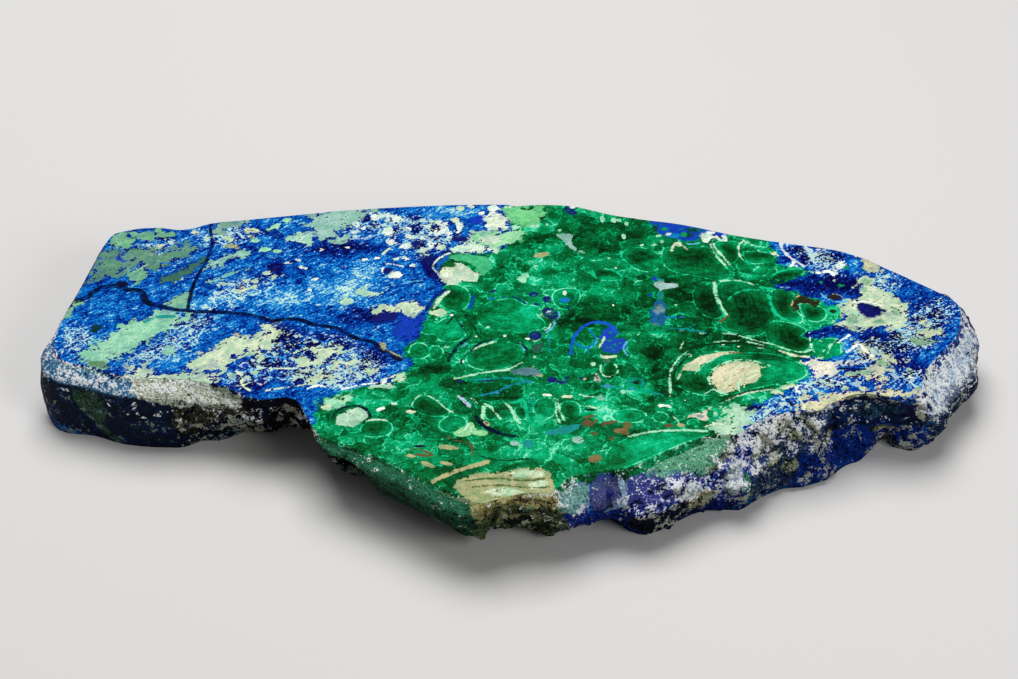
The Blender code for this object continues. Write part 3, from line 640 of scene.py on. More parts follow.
spots_of(MINT, (41.5, 48, 0.9, 0.6, 30), (45.5, 48, 1, 0.5, 20), (47.8, 49.8, 0.7, 1.1, -20),
         (46.9, 53, 0.9, 0.7), (47.2, 43.5, 0.5, 0.5), (31, 41, 0.5, 0.5), (33, 35.9, 0.5, 0.6),
         (74.5, 49.6, 0.8, 0.6), (76, 48, 0.6, 0.5), (77.7, 45, 0.4, 0.7), (50.4, 17, 0.5, 0.4),
         (57.5, 3.2, 0.9, 0.7), (53.3, -7.5, 0.7, 0.9), (-18.5, -3.6, 1, 0.4),
         (92.9, 34.2, 0.6, 0.6), (33, -24.5, 0.8, 1), (59, -34.5, 0.7, 1.1),
         (24.6, -11.6, 0.9, 1.1))
line(CREAM, 0.86, 50.8, 45, 51.5, 48, 52.5, 49.6, 54.5, 47.5, 55.4, 45.8)
spots_of(CREAM, (82.5, 43.6, 1.3, 0.9), (53, 48.4, 1.2, 1.4), (74.7, -3.8, 1.2, 0.5))
spots_of(WHITE, (83.6, 42.2, 0.6, 0.8), (31.5, 16.8, 0.4, 0.6, 20), (92.5, -0.7, 0.3, 0.5, 30),
         (93.8, -2, 0.4, 0.3, 30), (63.4, -2.6, 0.4, 0.35), (68, -3.4, 0.5, 0.35))
line(CREAM, 0.43, 37.4, 1.6, 39, 2.8)
patch((172, 194, 192), 44.2, 27.3, 45, 28.5, 47.5, 28.3, 50, 28, 51.8, 27.7, 51.5, 26, 49.5, 25.3,
      47.3, 25, 46.3, 24, 45.5, 25.5, 44.3, 26.2)
spots_of(TEAL, (46.4, 29.8, 1.6, 0.8, -20), (46, 22, 1.2, 2))
spots_of(ROYAL, (44.6, 30.3, 0.8, 1.1), (42.8, 22, 0.6, 0.8), (42.9, 13.6, 0.6, 0.6))

# Azurite caught in the malachite.
patch(NAVY, 10, 14.2, 11.4, 15.6, 13.5, 15.2, 14.7, 12.6, 14.8, 10.6, 12.4, 10, 10.6, 11.8)
line(MINT_CREAM, 0.32, 9.4, 14.4, 10.2, 12.6, 9.2, 12, 10.6, 11.2, 11.4, 10.2)
line(MINT_CREAM, 0.3, 11.2, 12.8, 12.2, 14.6, 12.8, 12.6, 11.6, 12)
line(SKY, 0.45, 15, 13.4, 15.4, 11.6, 14.4, 9.6, 13.2, 9)
line(SKY, 0.5, 13.2, 9, 14, 7.2, 13, 5.6, 11, 3.4)
line(MINT_CREAM, 0.36, 12.8, 8.4, 12, 5.6, 10.4, 4.2)
spots_of(NAVY, (12.8, 6.3, 0.7, 0.5), (11.5, 4.3, 1.2, 0.4, 35), (7.5, 22.3, 1.6, 1.2, 30),
         (11.5, 19.7, 1.2, 1.9, 10), (7.8, 1.9, 2, 2.1), (-4.8, 23.8, 1.3, 0.7, 20),
         (-1.5, 21, 0.8, 0.6), (8.4, 17.3, 1.1, 0.6, -20), (19.3, 20.5, 0.6, 0.4))
spots_of(AZURE, (-5.3, 20.3, 1.3, 0.5, 20), (16.9, 19.4, 1.8, 1.3, 10))
line(BRIGHT, 0.6, 15.2, 20.4, 14.8, 18.8, 16, 17.4, 18, 17.4)
line(NAVY, 0.7, 1.2, 21.2, 3, 20, 5.2, 17.4)
line(NAVY, 0.6, 17.5, 16.5, 18, 15, 18.8, 12.8)
line(ROYAL, 0.9, -10.8, 21.6, -11.1, 19, -11.3, 17, -12, 15.2)
line(INK, 0.5, -12.4, 12, -13.4, 12, -12.8, 10.4)
line(INK, 0.45, -16.8, 11, -14.8, 8, -13.5, 5, -12.7, 3)
line(INK, 0.7, -17, 10.5, -18.5, 7.6)
line(INK, 1.1, -11.8, 0.8, -14, -1.5, -15.6, -3.5, -16.1, -6, -17.8, -8.5, -17.9, -10.4)
line(SKY, 0.35, -11, -0.4, -13.2, -2.6, -14.7, -4.3)
line(INK, 0.7, -5, 0, -8, -1.3, -10.2, -3.3, -11.6, -6, -13.1, -8.4, -14.1, -10, -13.9, -11.6)
line(MINT_CREAM, 0.65, -4.5, -1.3, -7, -2.5, -9, -3.7, -10.4, -5.3)
line(INK, 0.4, -8.7, 5, -8.3, 3, -6.5, 1)
line(FOREST, 0.6, -12.3, 10, -10.5, 6, -9.5, 3, -8, 0.5)
line(INK, 0.8, 3.8, -1.8, 4.4, -3.5, 5.4, -5, 5.2, -7.6)
line(SKY, 0.35, 3.2, -1.2, 3.7, -3.4, 4.7, -5.2)
line(TEAL, 0.6, 12.2, 2.5, 11.5, 1, 12, -1.5, 11.5, -4, 12.5, -7)
line(MINT_CREAM, 0.3, 5.8, 1, 6.4, -0.2, 8, -0.8, 9.6, 0.4)
patch((32, 84, 68), 6.6, -3, 10.6, -1.3, 9.2, -6.4, 7.4, -6.8)
spots_of(WHITE, (-17.2, 12, 0.6, 0.6), (5.5, 0.4, 1, 0.5, -20), (-1.3, 1.7, 0.6, 0.5),
         (7.5, -8.3, 0.3, 0.5), (-9.7, 1.3, 0.4, 0.7, 30), (-13.5, -10.4, 0.4, 0.9),
         (17, 23, 0.6, 1.2), (-6.4, 6, 0.6, 0.4))
line(BRIGHT, 0.7, 20.4, 22.4, 21, 24.4, 22.2, 25.4)
line((16, 84, 200), 1.1, 18.2, -6.8, 18.6, -1, 20.7, 4.6, 24, 8.2, 27.8, 8.7, 31, 6.4, 32.3, 3)
line(AZURE, 0.5, 24.3, 4.5, 25, 2.5, 26, 0.5, 25.3, -2, 23.5, -4.5, 23.3, -7)
line(AZURE, 0.6, 19.8, -1.6, 21, -3.2, 22.6, -4.4, 23.4, -3.6)
line(SKY, 0.4, 26.4, 0.8, 25.8, -2.2, 23.8, -4.4)
patch((14, 62, 184), 27.8, 5, 31.7, 6.7, 32.1, 3, 31, 0.9, 34.4, 0.2, 34.6, -3.9, 31.2, -6.8,
      27.8, -5.8, 26.7, -3.4, 28.6, -1, 26.6, 0.9)
spots_of(JADE, (30.4, 3.4, 0.7, 0.4, 30), (29.6, -0.4, 0.9, 0.4, -20), (31.4, -2.4, 0.6, 0.5),
         (29.2, -4, 0.5, 0.6), (33, -1.6, 0.5, 0.4), (31, -5, 0.7, 0.3, 20))
shade(0.6, (30.2, -0.4, 2, 2))
line(MINT_CREAM, 0.65, 28.4, 1.2, 27.7, -1.4, 26.6, -4)
line(SKY, 0.5, 35.6, 0, 34.5, -2, 33.7, -4, 34, -6, 34.9, -7.6)
patch(CREAM, 26.7, -7, 28, -7.8, 31.8, -7.5, 31.6, -8.6, 29, -9, 27.3, -9)
spots_of(OLIVE, (28.8, -10.2, 1.1, 0.9))
line(MINT, 0.5, 27, -12.4, 26.6, -15, 28, -18, 31.2, -16.8, 32.2, -14.4, 31, -11.6)
patch((12, 92, 150), 45.5, 19.6, 47.3, 18.5, 47.8, 16.5, 47, 14.5, 47.5, 12, 47, 9.5, 46, 7,
      44.5, 6.5, 43, 8, 42.4, 10, 43, 12.3, 42.6, 14.3, 43.7, 14, 44, 16.5, 44, 18.5)
patch((124, 148, 156), 45, 17.6, 46, 16.4, 47, 15, 46.5, 13, 44, 12.7, 43.6, 14, 44.4, 15.5)
spots_of(SLATE, (44, 7.4, 0.8, 0.7), (51.5, 4.3, 0.9, 0.5))
line(TEAL, 0.8, 48, 5.6, 51, 5, 53, 5.3, 54.2, 6.2, 55.6, 7.4)
line(AZURE, 0.5, 47, 11, 50, 10.6, 52.4, 11)
line(TEAL, 0.9, 54, 4.4, 56.4, 4.2, 58.6, 3)
line(MINT, 0.6, 51.7, -1, 51, -3.5, 50.5, -5)
spots_of(BROWN, (55.2, 3.4, 0.4, 0.3))

# The far edge's azurite, between malachite and crust.
patch(ROYAL, 44.5, 61, 50, 60, 55, 59, 60, 58, 64, 56.5, 68.5, 54.5, 68.5, 51.5, 65, 52, 62, 53,
      60.5, 54, 60, 51.5, 58, 50, 55, 50.2, 52, 52, 49.5, 53, 47, 54.5, 45.5, 57)
patch(AZURE, 49.4, 52.4, 49.6, 55, 51, 54.4, 53.4, 54.2, 53.6, 52.4, 52, 51.4)
spots_of((0, 46, 44), (58.5, 56, 2.5, 1, -12), (46.3, 57, 1, 2), (56.6, 53.4, 1.6, 1.4))
spots_of(JADE, (55, 53.6, 1.2, 1.4), (49, 56.6, 1, 1))
spots_of(WHITE, (50.2, 53.8, 1, 0.7, 30))
patch(WHITE, 60, 53.5, 62.5, 55.4, 64.5, 55.6, 65, 54, 66.2, 52, 67.7, 54.3, 68.3, 53, 68.8, 49.4,
      67, 50, 65.5, 50.5, 64.5, 52, 63.3, 51, 62.5, 49, 61, 49, 60, 51)
spots_of(NAVY, (66.4, 52.2, 0.6, 1.1, 20), (64.4, 53.4, 1, 0.6))
line(TEAL, 0.6, 64.8, 51.4, 63.6, 49, 63.8, 46)
line(SKY, 0.8, 55.6, 48.6, 58, 48.4, 60, 49.4)

# Long light seams, clay and turquoise in the front half.
line(MINT, 0.8, -16, -18.6, -10, -16.5, -5, -15, -2.5, -14.8)
line(MINT, 0.6, -2.5, -14.8, 0, -14, 2, -12.5, 3.6, -11)
spots_of(WHITE, (-3.7, -14.9, 0.9, 0.4, 5), (-1, -14.5, 0.8, 0.35, 10))
patch(SLATE, 0.5, -15, 3, -13.8, 7, -13, 9, -15, 9.8, -17.5, 7, -17.5, 4, -17, 1.5, -16.3)
spots_of(TAN, (9, -17, 0.9, 0.7), (7.1, -12.6, 0.3, 0.6), (22, -18.7, 0.6, 0.7))
spots_of(NAVY, (12.5, -19, 1.5, 1.4, 40), (15.6, -20, 1.8, 0.8), (16.8, -18.2, 0.8, 0.8),
         (21, -18.3, 0.7, 0.5), (-6, -19.3, 2.6, 0.5, 8), (-14.4, -19.8, 1, 0.6))
line(TEAL, 0.7, -11, -19, -5, -18.6, 0, -18, 5, -19.4)
line((20, 130, 160), 0.8, -8, -26, -4, -25, -1, -22.5, 2, -20.6, 6.4, -20)
line(TEAL, 0.8, 27, -21.8, 31, -22.5, 35, -23.5, 40, -24, 44.4, -26.2)
spots_of((60, 140, 190), (28.5, -22, 1.5, 0.9), (-3.5, -25, 0.7, 0.5), (35.6, -23, 0.7, 0.6))
line(TEAL, 0.7, 34.6, -20.6, 36.2, -18.2, 38.6, -18.6, 39.2, -21, 37, -22.6, 34.8, -21.4)
spots_of((2, 16, 8), (37, -20.3, 1, 0.9))
patch(GREY, 26.5, -25.5, 27.6, -28.2, 26, -28.6, 25.4, -27.4)
patch((206, 196, 190), 24.9, -15.8, 25.6, -15.6, 27, -20.2, 25.4, -20.6, 24.5, -19)
patch(INK, 25.2, -17, 25.7, -17, 26.4, -19.9, 25.4, -20)
spots_of(WHITE, (11, -26, 1.5, 0.6, -8))
patch(CREAM, 15, -26, 18.5, -26, 17.7, -26.8, 19.6, -27.5, 15, -27.4)
line(MINT, 0.5, 20.4, -25.8, 22, -26.6, 24.4, -26.8)
line(CREAM, 0.43, 21.3, -31, 23.4, -31.2, 25.4, -32.2)
spots_of((0, 34, 14), (23.4, -32.7, 1.9, 0.5, -8))
line(MINT, 0.9, -7.4, -31.4, -7.5, -36.6)
line(MINT, 0.6, -7, -30, -5, -31.5, -4, -34, -2.4, -36.8)
line(MINT, 0.9, -0.6, -30, 1, -33, 1.5, -36, 3.2, -38.6)
line(BRIGHT, 1.0, 0, -29.2, 2.6, -29.4, 4.2, -27.2, 5, -33, 5.6, -37)
line(TEAL, 0.5, 6.6, -28, 6.2, -32, 7, -36)
line(MINT, 0.4, 13.3, -27.6, 13.6, -31, 13.4, -35, 14.5, -38.6)
line(MINT, 0.4, 14.1, -28, 14.4, -32, 15.2, -36, 16, -37.6)
spots_of(BRIGHT, (8.5, -36, 1.4, 1.2), (9.4, -38.4, 1.4, 1, 30), (6.8, -40, 1, 1.2))
patch((10, 138, 138), 10, -42.5, 14, -40.5, 20, -38.8, 20.3, -40.5, 18.5, -42.5, 14, -43.5,
      11, -44)
patch(BROWN, 21, -36, 23.5, -34.8, 24.8, -35, 24.2, -36.3, 22.5, -36.5, 21.5, -37.2)
spots_of(BROWN, (22.4, -38.6, 1.5, 1.6, 30), (28.2, -38.4, 2, 0.8, 10), (24.4, -38, 0.6, 1.6, -35),
         (45.5, -39.7, 1.3, 0.9), (24, -43.2, 1, 0.8))
patch((110, 90, 48), 32.5, -38, 34.5, -38, 35, -40, 33.6, -41.5, 34.2, -44, 31.5, -43.2, 31, -41.5,
      32.5, -40.5)
line(BROWN, 0.9, 26.4, -39.8, 27.8, -38.2, 30.4, -38)
line(BROWN, 0.6, 29.6, -44.4, 28.4, -46)
spots_of(TAN, (48.8, -39.5, 1.2, 0.8), (-6.4, -38.8, 0.9, 1.3, 30), (-17, -49.2, 3, 1, -10),
         (-22.8, -56.5, 2.4, 0.9, -30), (-17.5, -56, 2, 0.8, -20), (-27.5, -52.8, 1.6, 0.8, -20))
spots_of(BROWN, (-6.4, -38.6, 0.4, 0.7, 30))
line(MINT_CREAM, 0.36, 46.5, -35.5, 48, -37, 48.3, -39)
patch(WHITE, 42.2, -30.5, 43.5, -29.7, 44.5, -30.4, 46, -30.4, 46.8, -31.5, 46, -32.1, 44.5, -31.3,
      43, -31.6)
patch((222, 206, 186), 49.5, -36.8, 51, -35.4, 52.5, -34.4, 54.5, -33.9, 55.2, -34.4, 56, -32.9,
      58.3, -30.7, 58.5, -31.3, 56.7, -33.5, 56.4, -35, 57.1, -36.8, 55.4, -37.8, 54, -36.8,
      53.2, -35.9, 51.5, -36.1)
spots_of((128, 152, 146), (54.7, -35.5, 1.1, 0.9, -30))
spots_of(WHITE, (50.6, -28.3, 0.4, 0.4))
line(INK, 1.3, -9.4, -35.6, -8, -38.8, -6, -41, -2, -43.5, 1.4, -44.4)
line(LILAC, 1.0, -14.4, -26.6, -13, -28.6, -11.4, -31)
line(MINT_CREAM, 0.3, -11, -27.2, -9, -29.6)
spots_of((150, 214, 150), (-12.4, -42.4, 3.4, 2, 20), (-11, -39.8, 1.2, 1.6), (-8, -43, 2, 1.3))
line(MINT_CREAM, 0.36, -14.6, -43, -12.6, -41.8, -11.4, -39)
line(MINT_CREAM, 0.36, -10, -43.6, -11.2, -41.4, -9.8, -39.4)
line(BROWN, 0.6, -17.8, -44.7, -13.9, -46.7, -10.6, -47.2, -10, -52.2)
line(BROWN, 0.8, -27.5, -50.2, -25, -50, -21.2, -52.3, -22.4, -53, -26, -52.2)
spots_of(INK, (-25.2, -48.7, 1.8, 0.5))
line(FOREST, 0.6, -8, -53, -3, -55, 2, -54.5, 6.5, -54, 8, -57)
spots_of(TEAL, (15.8, -42.4, 3, 0.9, 10), (5.5, -47.8, 1.5, 1.8))
spots_of(GREY, (19.5, -46, 1.8, 1.6), (1.5, -47.5, 1.4, 1))
spots_of((130, 104, 66), (24, -54, 2.2, 1.5, 20), (31, -42, 1.6, 1))
patch(MINT_CREAM, -45.4, -32.5, -42.9, -31.3, -40, -34.2, -40.4, -36.3, -44.6, -40.4, -49.2, -39.2,
      -49.2, -35.8)
patch(MINT, -54, -28.4, -50, -26.2, -45, -25.4, -44, -27.4, -47, -30.4, -51.6, -32.6, -54.4, -31)
spots_of(CREAM, (-52.3, -31.3, 1.8, 1.2, 20), (-28, -33.5, 1.5, 0.9), (-48, -27.6, 1.6, 0.8))
line(INK, 0.9, -50.4, -36, -48.6, -32, -44, -30.4, -40.4, -32.6, -39.6, -36)
line(MINT_CREAM, 0.43, -41.6, -38, -38.4, -36.8, -34.4, -37.6)
line(MINT_CREAM, 0.43, -28.1, -31.1, -26.7, -26.7, -24.4, -25.6, -21.1, -27.8, -18.9, -31.1,
     -16.1, -33.9)
spots_of(WHITE, (-36.7, -32.3, 1.5, 0.8, 20), (-33, -30, 0.9, 0.6))
patch(MINT_CREAM, -41, -21.8, -36, -20.6, -33.6, -17.6, -30, -15.6, -30.6, -17.8, -33.4, -20.2,
      -33.6, -22.8, -38, -22.8)
line(TAN, 1.5, -21.1, -63.9, -17.8, -61.1, -12.8, -58.3, -6.1, -55.6)
patch(TAN, -15, -66, -14, -63, -9, -60.5, -4, -60, 1, -59, 5, -58, 9, -58, 11, -60, 12.4, -64,
      13.4, -72, 4, -78, -8, -78)
spots_of(CREAM, (5, -60.5, 5, 1.7), (-1.5, -68, 5, 1.6), (8, -65, 3, 1.6, 20))
line((60, 92, 40), 0.7, -12, -63.4, -4, -62, 4, -63.6, 10, -62.4)
line((70, 96, 50), 0.7, -10, -66, -2, -65, 6, -66.4, 11, -66)
spots_of(ROYAL, (25, -61.3, 5, 1.4, 12), (21, -64, 1.6, 2.4))
patch(MINT_CREAM, 60, -31, 66.4, -30.6, 69.6, -36, 67, -40.4, 64.6, -46, 60.4, -45.4, 57.6, -39.6,
      61, -36.6, 60.4, -33.6)
line(MINT_CREAM, 0.43, 58, -38.6, 60.5, -38.9, 62.5, -42, 64, -46.5)
line(CREAM, 0.5, 55.5, -40.2, 58, -38.9, 60.4, -39)
line(MINT, 0.9, 34, -44.4, 38, -43, 42, -42.1, 50, -41.6, 56, -42.2)

# The cream-cored eye near the right front.
lobe(53, -6.2, 50.6, -9.4, 49, -13, 48.6, -18, 49.4, -22.6, 53, -25.4, 60, -26.6, 66, -25.2,
     72, -22.6, 80, -20.4, 85, -18.8, 87.4, -15.6, 86.2, -12, 81.4, -8.2, 75.6, -6.4, 69, -6.4,
     61, -5.6)
patch((222, 214, 176), 58.6, -17.6, 59.8, -14.6, 62.4, -11.9, 66.3, -10.4, 70.6, -10.4,
      73.8, -12.3, 76.2, -12.9, 73.8, -14.6, 73.1, -17.5, 70.6, -20.3, 66.9, -21.9, 65, -23.6,
      63.2, -25.2, 60.6, -24, 58.8, -21)
line(MINT_CREAM, 0.6, 68.6, -11.6, 65.3, -14.2, 64.2, -18.4, 64.8, -22.8)
line(MINT_CREAM, 0.5, 66.5, -24.2, 66.4, -20.7, 68.1, -16.8, 71.2, -14.8, 74.6, -13.7)
line((204, 184, 140), 0.4, 65.6, -23.4, 65.5, -20.2, 67.2, -16, 70.4, -13.8, 73.6, -12.9)
line((216, 228, 184), 0.45, 68, -22.6, 68.5, -20.7, 69.7, -18.3, 72.4, -16.5)
line(CREAM, 0.4, 71, -11.8, 68, -14.6, 67, -18, 67.6, -21)
line(MINT, 0.5, 63.2, -25.9, 59.6, -24, 58, -20.6, 58.2, -16.6, 60.8, -12.6, 66, -9.7, 71, -9.6,
     76.4, -12.4)
patch((230, 218, 184), 68.8, -6, 64, -5.8, 60, -6.8, 56, -8.3, 53, -10.8, 51, -13.4, 49.4, -17,
      48.6, -20.6, 49.4, -18.4, 50.8, -15, 52.6, -14.6, 54.4, -15, 56.4, -12.4, 59.5, -9.6,
      62.4, -7.6, 66, -6.7)
line(MINT, 0.5, 60.4, -9.4, 57, -12, 54.4, -16)
line(BROWN, 0.5, 65, -6.4, 69, -6.2)
line(MINT, 0.5, 52.8, -5.4, 50.5, -8, 48.8, -11, 47.2, -14.6, 46.6, -19, 46.9, -22, 46.4, -26.6)
line(FOREST, 0.8, 54, -6.2, 50.4, -11, 48, -15.8, 47.4, -20)
line(MINT, 0.4, 59, -23.5, 56.5, -25.5)
line(FOREST, 0.7, 60.6, -29, 65, -26.2, 70, -23.8, 76, -22.6)
line(MINT_CREAM, 0.5, 62.6, -28.6, 66, -26.4, 70.4, -24.6, 76, -23.4)
line(FOREST, 1.0, 53, -4.6, 58, -2.6, 64, -1.4, 70, -2.2, 76, -3.6, 80, -6.2)
line(MINT, 0.35, 61, -1.2, 66, -0.4, 71, -1, 75.6, -2.8)
line(MINT, 0.5, 63.4, 3, 66, 2.8, 70, 1.3, 74, -1, 78, -2.2, 82, -4.8, 86, -6.2, 88, -5.8,
     89.6, -4.4, 90.2, -6)
line(CREAM, 0.9, 80, -5.4, 82.5, -6.9, 85.4, -8.2, 88.4, -8.2)
line(WHITE, 0.4, 89.5, 3.6, 89.4, -4.5)
line(MINT, 0.35, 95.6, -2, 92.4, -6, 91, -8.6)
line(MINT, 0.35, 97.6, 0.4, 95.4, -2.6, 94, -6.4)
spots_of((0, 66, 30), (70, 30.4, 0.8, 0.5))

# Azurite and pale matrix at the right end.
shade(0.8, (94, 4, 6, 2.4, 20), (112, -3, 9, 7, -10), (117, -14, 4.4, 4.4), (95, 27, 8, 6),
      (103, 28, 5, 5), (100, 42.4, 5, 2), (85, 41, 2.4, 3), (90.5, 45, 3.4, 3),
      (84, 27.8, 4.6, 0.9), (93.5, -21, 5, 2.6), (108.4, 14.6, 3.4, 3), (92, 40, 2.6, 3),
      (109, -2, 4, 4))
shade(-0.5, (101, -3, 4, 4), (119, 8, 6, 6), (98, 37.6, 4, 1.4), (113, 29, 5, 6),
      (120, 22, 8, 5, -50), (106, 38.6, 3, 2), (90, -24, 3, 2), (96, -9, 3, 1.4))
patch(CREAM, 107, 27, 107, 29, 109, 32, 111, 31, 112, 27, 115, 24, 118, 20, 119.5, 17, 120, 12,
      119, 7, 116, 4.8, 113, 5.8, 111, 7, 108, 5.9, 104, 5.4, 101, 4.4, 99, 8, 101, 11, 101, 15,
      102, 19.6, 105, 19.8, 107.6, 21.4, 107, 24)
patch((216, 208, 166), 110, 41, 112.6, 39.4, 115, 36.4, 113.4, 34, 110.4, 33.6, 109.6, 36.4)
spots_of(SAGE, (109.6, 28.6, 1.6, 1.8), (103, 10, 1.8, 2.2), (110.6, 8.6, 2.2, 1),
         (108.4, 24.6, 1, 1.4), (116.6, 14, 1.4, 2.4, 20))
patch(NAVY, 105.4, 17.6, 107, 18.2, 109.5, 17.2, 111, 16.2, 113.4, 14.4, 112.2, 13.4, 111.2, 11.4,
      109, 10.6, 107, 11.3, 105.4, 12.8, 104.9, 15)
line(WHITE, 0.7, 104.4, 18.4, 107.4, 19, 110.4, 18, 112.6, 16.6)
spots_of((0, 0, 12), (111, 15.5, 1.3, 0.6, 30), (113.1, 14, 0.8, 0.6))
spots_of(MINT, (104.4, 12.4, 0.7, 1.6, 40))
patch(UMBER, 85.7, 17, 86.4, 19.6, 88.5, 21.4, 90.4, 21.3, 91.7, 19.6, 93.4, 19.1, 93.7, 17.2,
      92.5, 16.6, 91, 17.2, 89.5, 17.6, 87.7, 17.4, 87.3, 15.5, 87, 13.4, 86.2, 15)
line(TAN, 0.35, 85.5, 16.6, 86.2, 20, 88.4, 21.8)
spots_of(UMBER, (99, 21, 1.9, 1.4, -10), (97.6, 13.8, 0.8, 0.8))
line(SKY, 0.7, 95, 23, 96, 20.6, 98, 18.9, 100.6, 18.2, 102.4, 19)
line(TAN, 0.4, 98.4, 22.6, 100.2, 22.2, 101.2, 21)
line(BRIGHT, 0.8, 95.9, 13.8, 96.7, 15.3, 98.5, 15.4, 99.5, 13.8, 98.5, 12.2, 96.8, 12.3,
     95.9, 13.8)
line((206, 214, 220), 1.0, 85.3, 50, 85, 46.6, 86.1, 43.5, 87.6, 41, 89.2, 39, 91.2, 36.8)
line((206, 214, 220), 0.6, 87.4, 49.4, 86.6, 46.4)
line(WHITE, 0.7, 88, 39, 88, 37.8, 87, 36.8)
line((170, 180, 222), 1.2, 74, 52.8, 82, 50.8, 88, 49.2, 92, 48.2)
line(LILAC, 0.6, 82.4, 26, 85.9, 25.5)
spots_of((216, 230, 244), (92.6, 47, 0.6, 0.9), (94, 45, 1, 1.3, 30), (97, 45.6, 1.7, 0.8),
         (94.8, 43.8, 0.7, 0.7), (89, 37, 0.5, 0.5), (98.2, 37, 0.5, 0.5),
         (99.8, 29.4, 0.5, 0.8, -20), (100.8, 33.8, 0.6, 1.5), (108, 41.6, 1, 0.8))
patch(WHITE, 103.6, 40.4, 102, 39, 101.2, 37.4, 100.2, 35.4, 101.4, 35, 103, 36, 104.4, 38.2,
      105, 39.8)
line(WHITE, 1.1, 95, 33.5, 96.4, 33.4, 98, 34.4, 99.6, 33.6, 99.7, 32)
spots_of(JADE, (101.5, 27, 0.9, 0.7, 20), (95.5, 28.5, 0.5, 0.5), (104.2, 35.8, 0.6, 0.9))
line(AZURE, 0.5, 108.4, 26.8, 107, 24.6)
patch((248, 236, 216), 86, -10.6, 89, -9.2, 92, -9.6, 95, -10.5, 96.6, -11.5, 96, -13.5, 95.5, -16,
      93.5, -17.3, 91, -17, 89.5, -18, 88.3, -16, 87.8, -13)
patch((214, 222, 226), 94, -10.8, 100, -10.3, 105, -9, 106, -6.5, 107.6, -6.6, 108, -8.5, 106, -11,
      104.5, -12.2, 97, -12.2)
line(INK, 0.9, 96.6, -13.7, 100, -13.9, 104, -14.1)
patch((222, 214, 180), 103, -2, 104.6, -3, 106.4, -6.4, 108.6, -8.4, 111, -9.4, 114.6, -10.4,
      112.5, -13.5, 110, -15.5, 110, -19, 108.4, -21.4, 108, -26.6, 106.2, -26.6, 105.6, -21,
      104.6, -18, 97.6, -16.8, 98.6, -15.4, 104.6, -14.6, 106, -12, 105.8, -7)
spots_of(SAGE, (110, -11.7, 3.2, 1.8, -20), (102.4, -16, 4.6, 1.1, 5))
patch((226, 216, 176), 82.6, -34, 85, -27.6, 89, -28, 93, -25.6, 97, -24.6, 102, -24.8, 107, -25.1,
      110, -24, 115, -25, 119.4, -24.2, 119, -26.4, 112, -26.8, 104, -27, 98, -27.6, 93, -30,
      90, -34)
line(WHITE, 1.0, 84, -25, 82.8, -23.4, 83.6, -21.8, 85.6, -21.4, 86.8, -23)
line(WHITE, 0.7, 93.6, -19.3, 95.4, -19.6, 97, -20.6)
spots_of(LILAC, (101, -20.6, 2, 1.1, 10), (112.4, -17.4, 1.8, 1.2, -20))
spots_of(CREAM, (103, -23, 1.8, 0.7), (97.6, -22.8, 1.2, 0.6, 20), (80.6, -22.4, 2.4, 1, 20),
         (77.6, -25, 2, 1, -20))
line(WHITE, 0.6, 115, -16, 116.6, -17.6, 118.6, -18.7)
line(WHITE, 0.7, 97.6, -1.6, 100, 1.2, 101.4, 2.2)
line(WHITE, 0.8, 100, -6, 102.5, -3, 104, -2, 105, -5, 107, -8)
line(SKY, 0.5, 115.4, 5, 117.6, 2.4, 118.4, 0.6)
patch(SAGE, 119.6, -0.2, 123, 0.2, 126.6, -0.6, 126, -2, 122.6, -2.4, 120.4, -1.6)
spots_of((206, 210, 176), (126, 3, 3.5, 1.8), (120.6, 6, 2, 1, 30), (124, 8.6, 2, 0.9, 30))
spots_of(SAGE, (122.6, -19, 0.9, 6, 5))
line(CREAM, 0.7, 83.6, -28, 85, -31, 84, -34)
line(INK, 0.6, 78, -25.6, 80, -27.4, 81.4, -30.6)
line((196, 200, 214), 0.5, 116.8, -19.6, 119.4, -16.6, 120.6, -14)
flecked(1.0, (104, -19, 13, 5), (80, -29, 8, 5, 30), (90, -22, 7, 4), (128, 12, 7, 14, -50),
        (114, 28, 7, 8), (122, 2, 7, 6), (106, -8, 6, 8), (98, 38, 7, 6), (119, -22, 5, 6),
        (72, -36, 6, 5, 40), (64, -38, 5, 7))
flecked(0.6, (112, -3, 9, 6), (95, 44, 8, 4, -15), (117, -14, 5, 4))
shade(0.5, (116, 20, 10, 10, -40), (124, 6, 6, 10, -20))
shade(0.35, (127, 20, 9, 10), (63, 11, 14, 11), (-22, -37, 15, 9), (52, 27, 13, 8))
shade(-0.4, (15, 27, 12, 8), (27, -26, 13, 6), (41, -52, 12, 8))
# The pale chain and the navy band along the malachite's upper left.
patch((70, 185, 125), -18.5, 43, -14.2, 42.6, -9.6, 42.6, -6.5, 41.8, -5, 37.2, -8.1, 31.1,
      -9.2, 34.2, -11.2, 37.2, -14.2, 39.5, -16.5, 39.5, -18.5, 41.1)
patch((120, 205, 135), -3.1, 68.5, 11.9, 68.5, 11.5, 63.4, 8.8, 58.8, 5, 58, 1.9, 59.5, -0.4, 62.6)
patch((160, 218, 165), -11.9, 54.2, -8.8, 55.3, -5, 55.7, 1.2, 56.5, 4.2, 54.9, 2.7, 51.1,
      -0.4, 48, -3.5, 45.7, -6.5, 47.2, -10.4, 49.5, -11.9, 51.8)
patch((216, 228, 200), -9.5, 51.5, -6, 53.5, -2.5, 52.5, -2.8, 49.5, -6, 48.6, -8.6, 49.6)
patch((222, 232, 206), -7.7, 63.4, -3.5, 64.9, -0.4, 62.6, -1.2, 56.5, -5, 56.1, -6.9, 58.8)
patch((216, 236, 212), -17.3, 44.9, -16.5, 47.6, -14.2, 48.8, -11.2, 48.4, -6.5, 47.2, -3.5, 45.7,
      -4.2, 43.8, -8.1, 44.2, -11.2, 43.4, -14.2, 44.2)
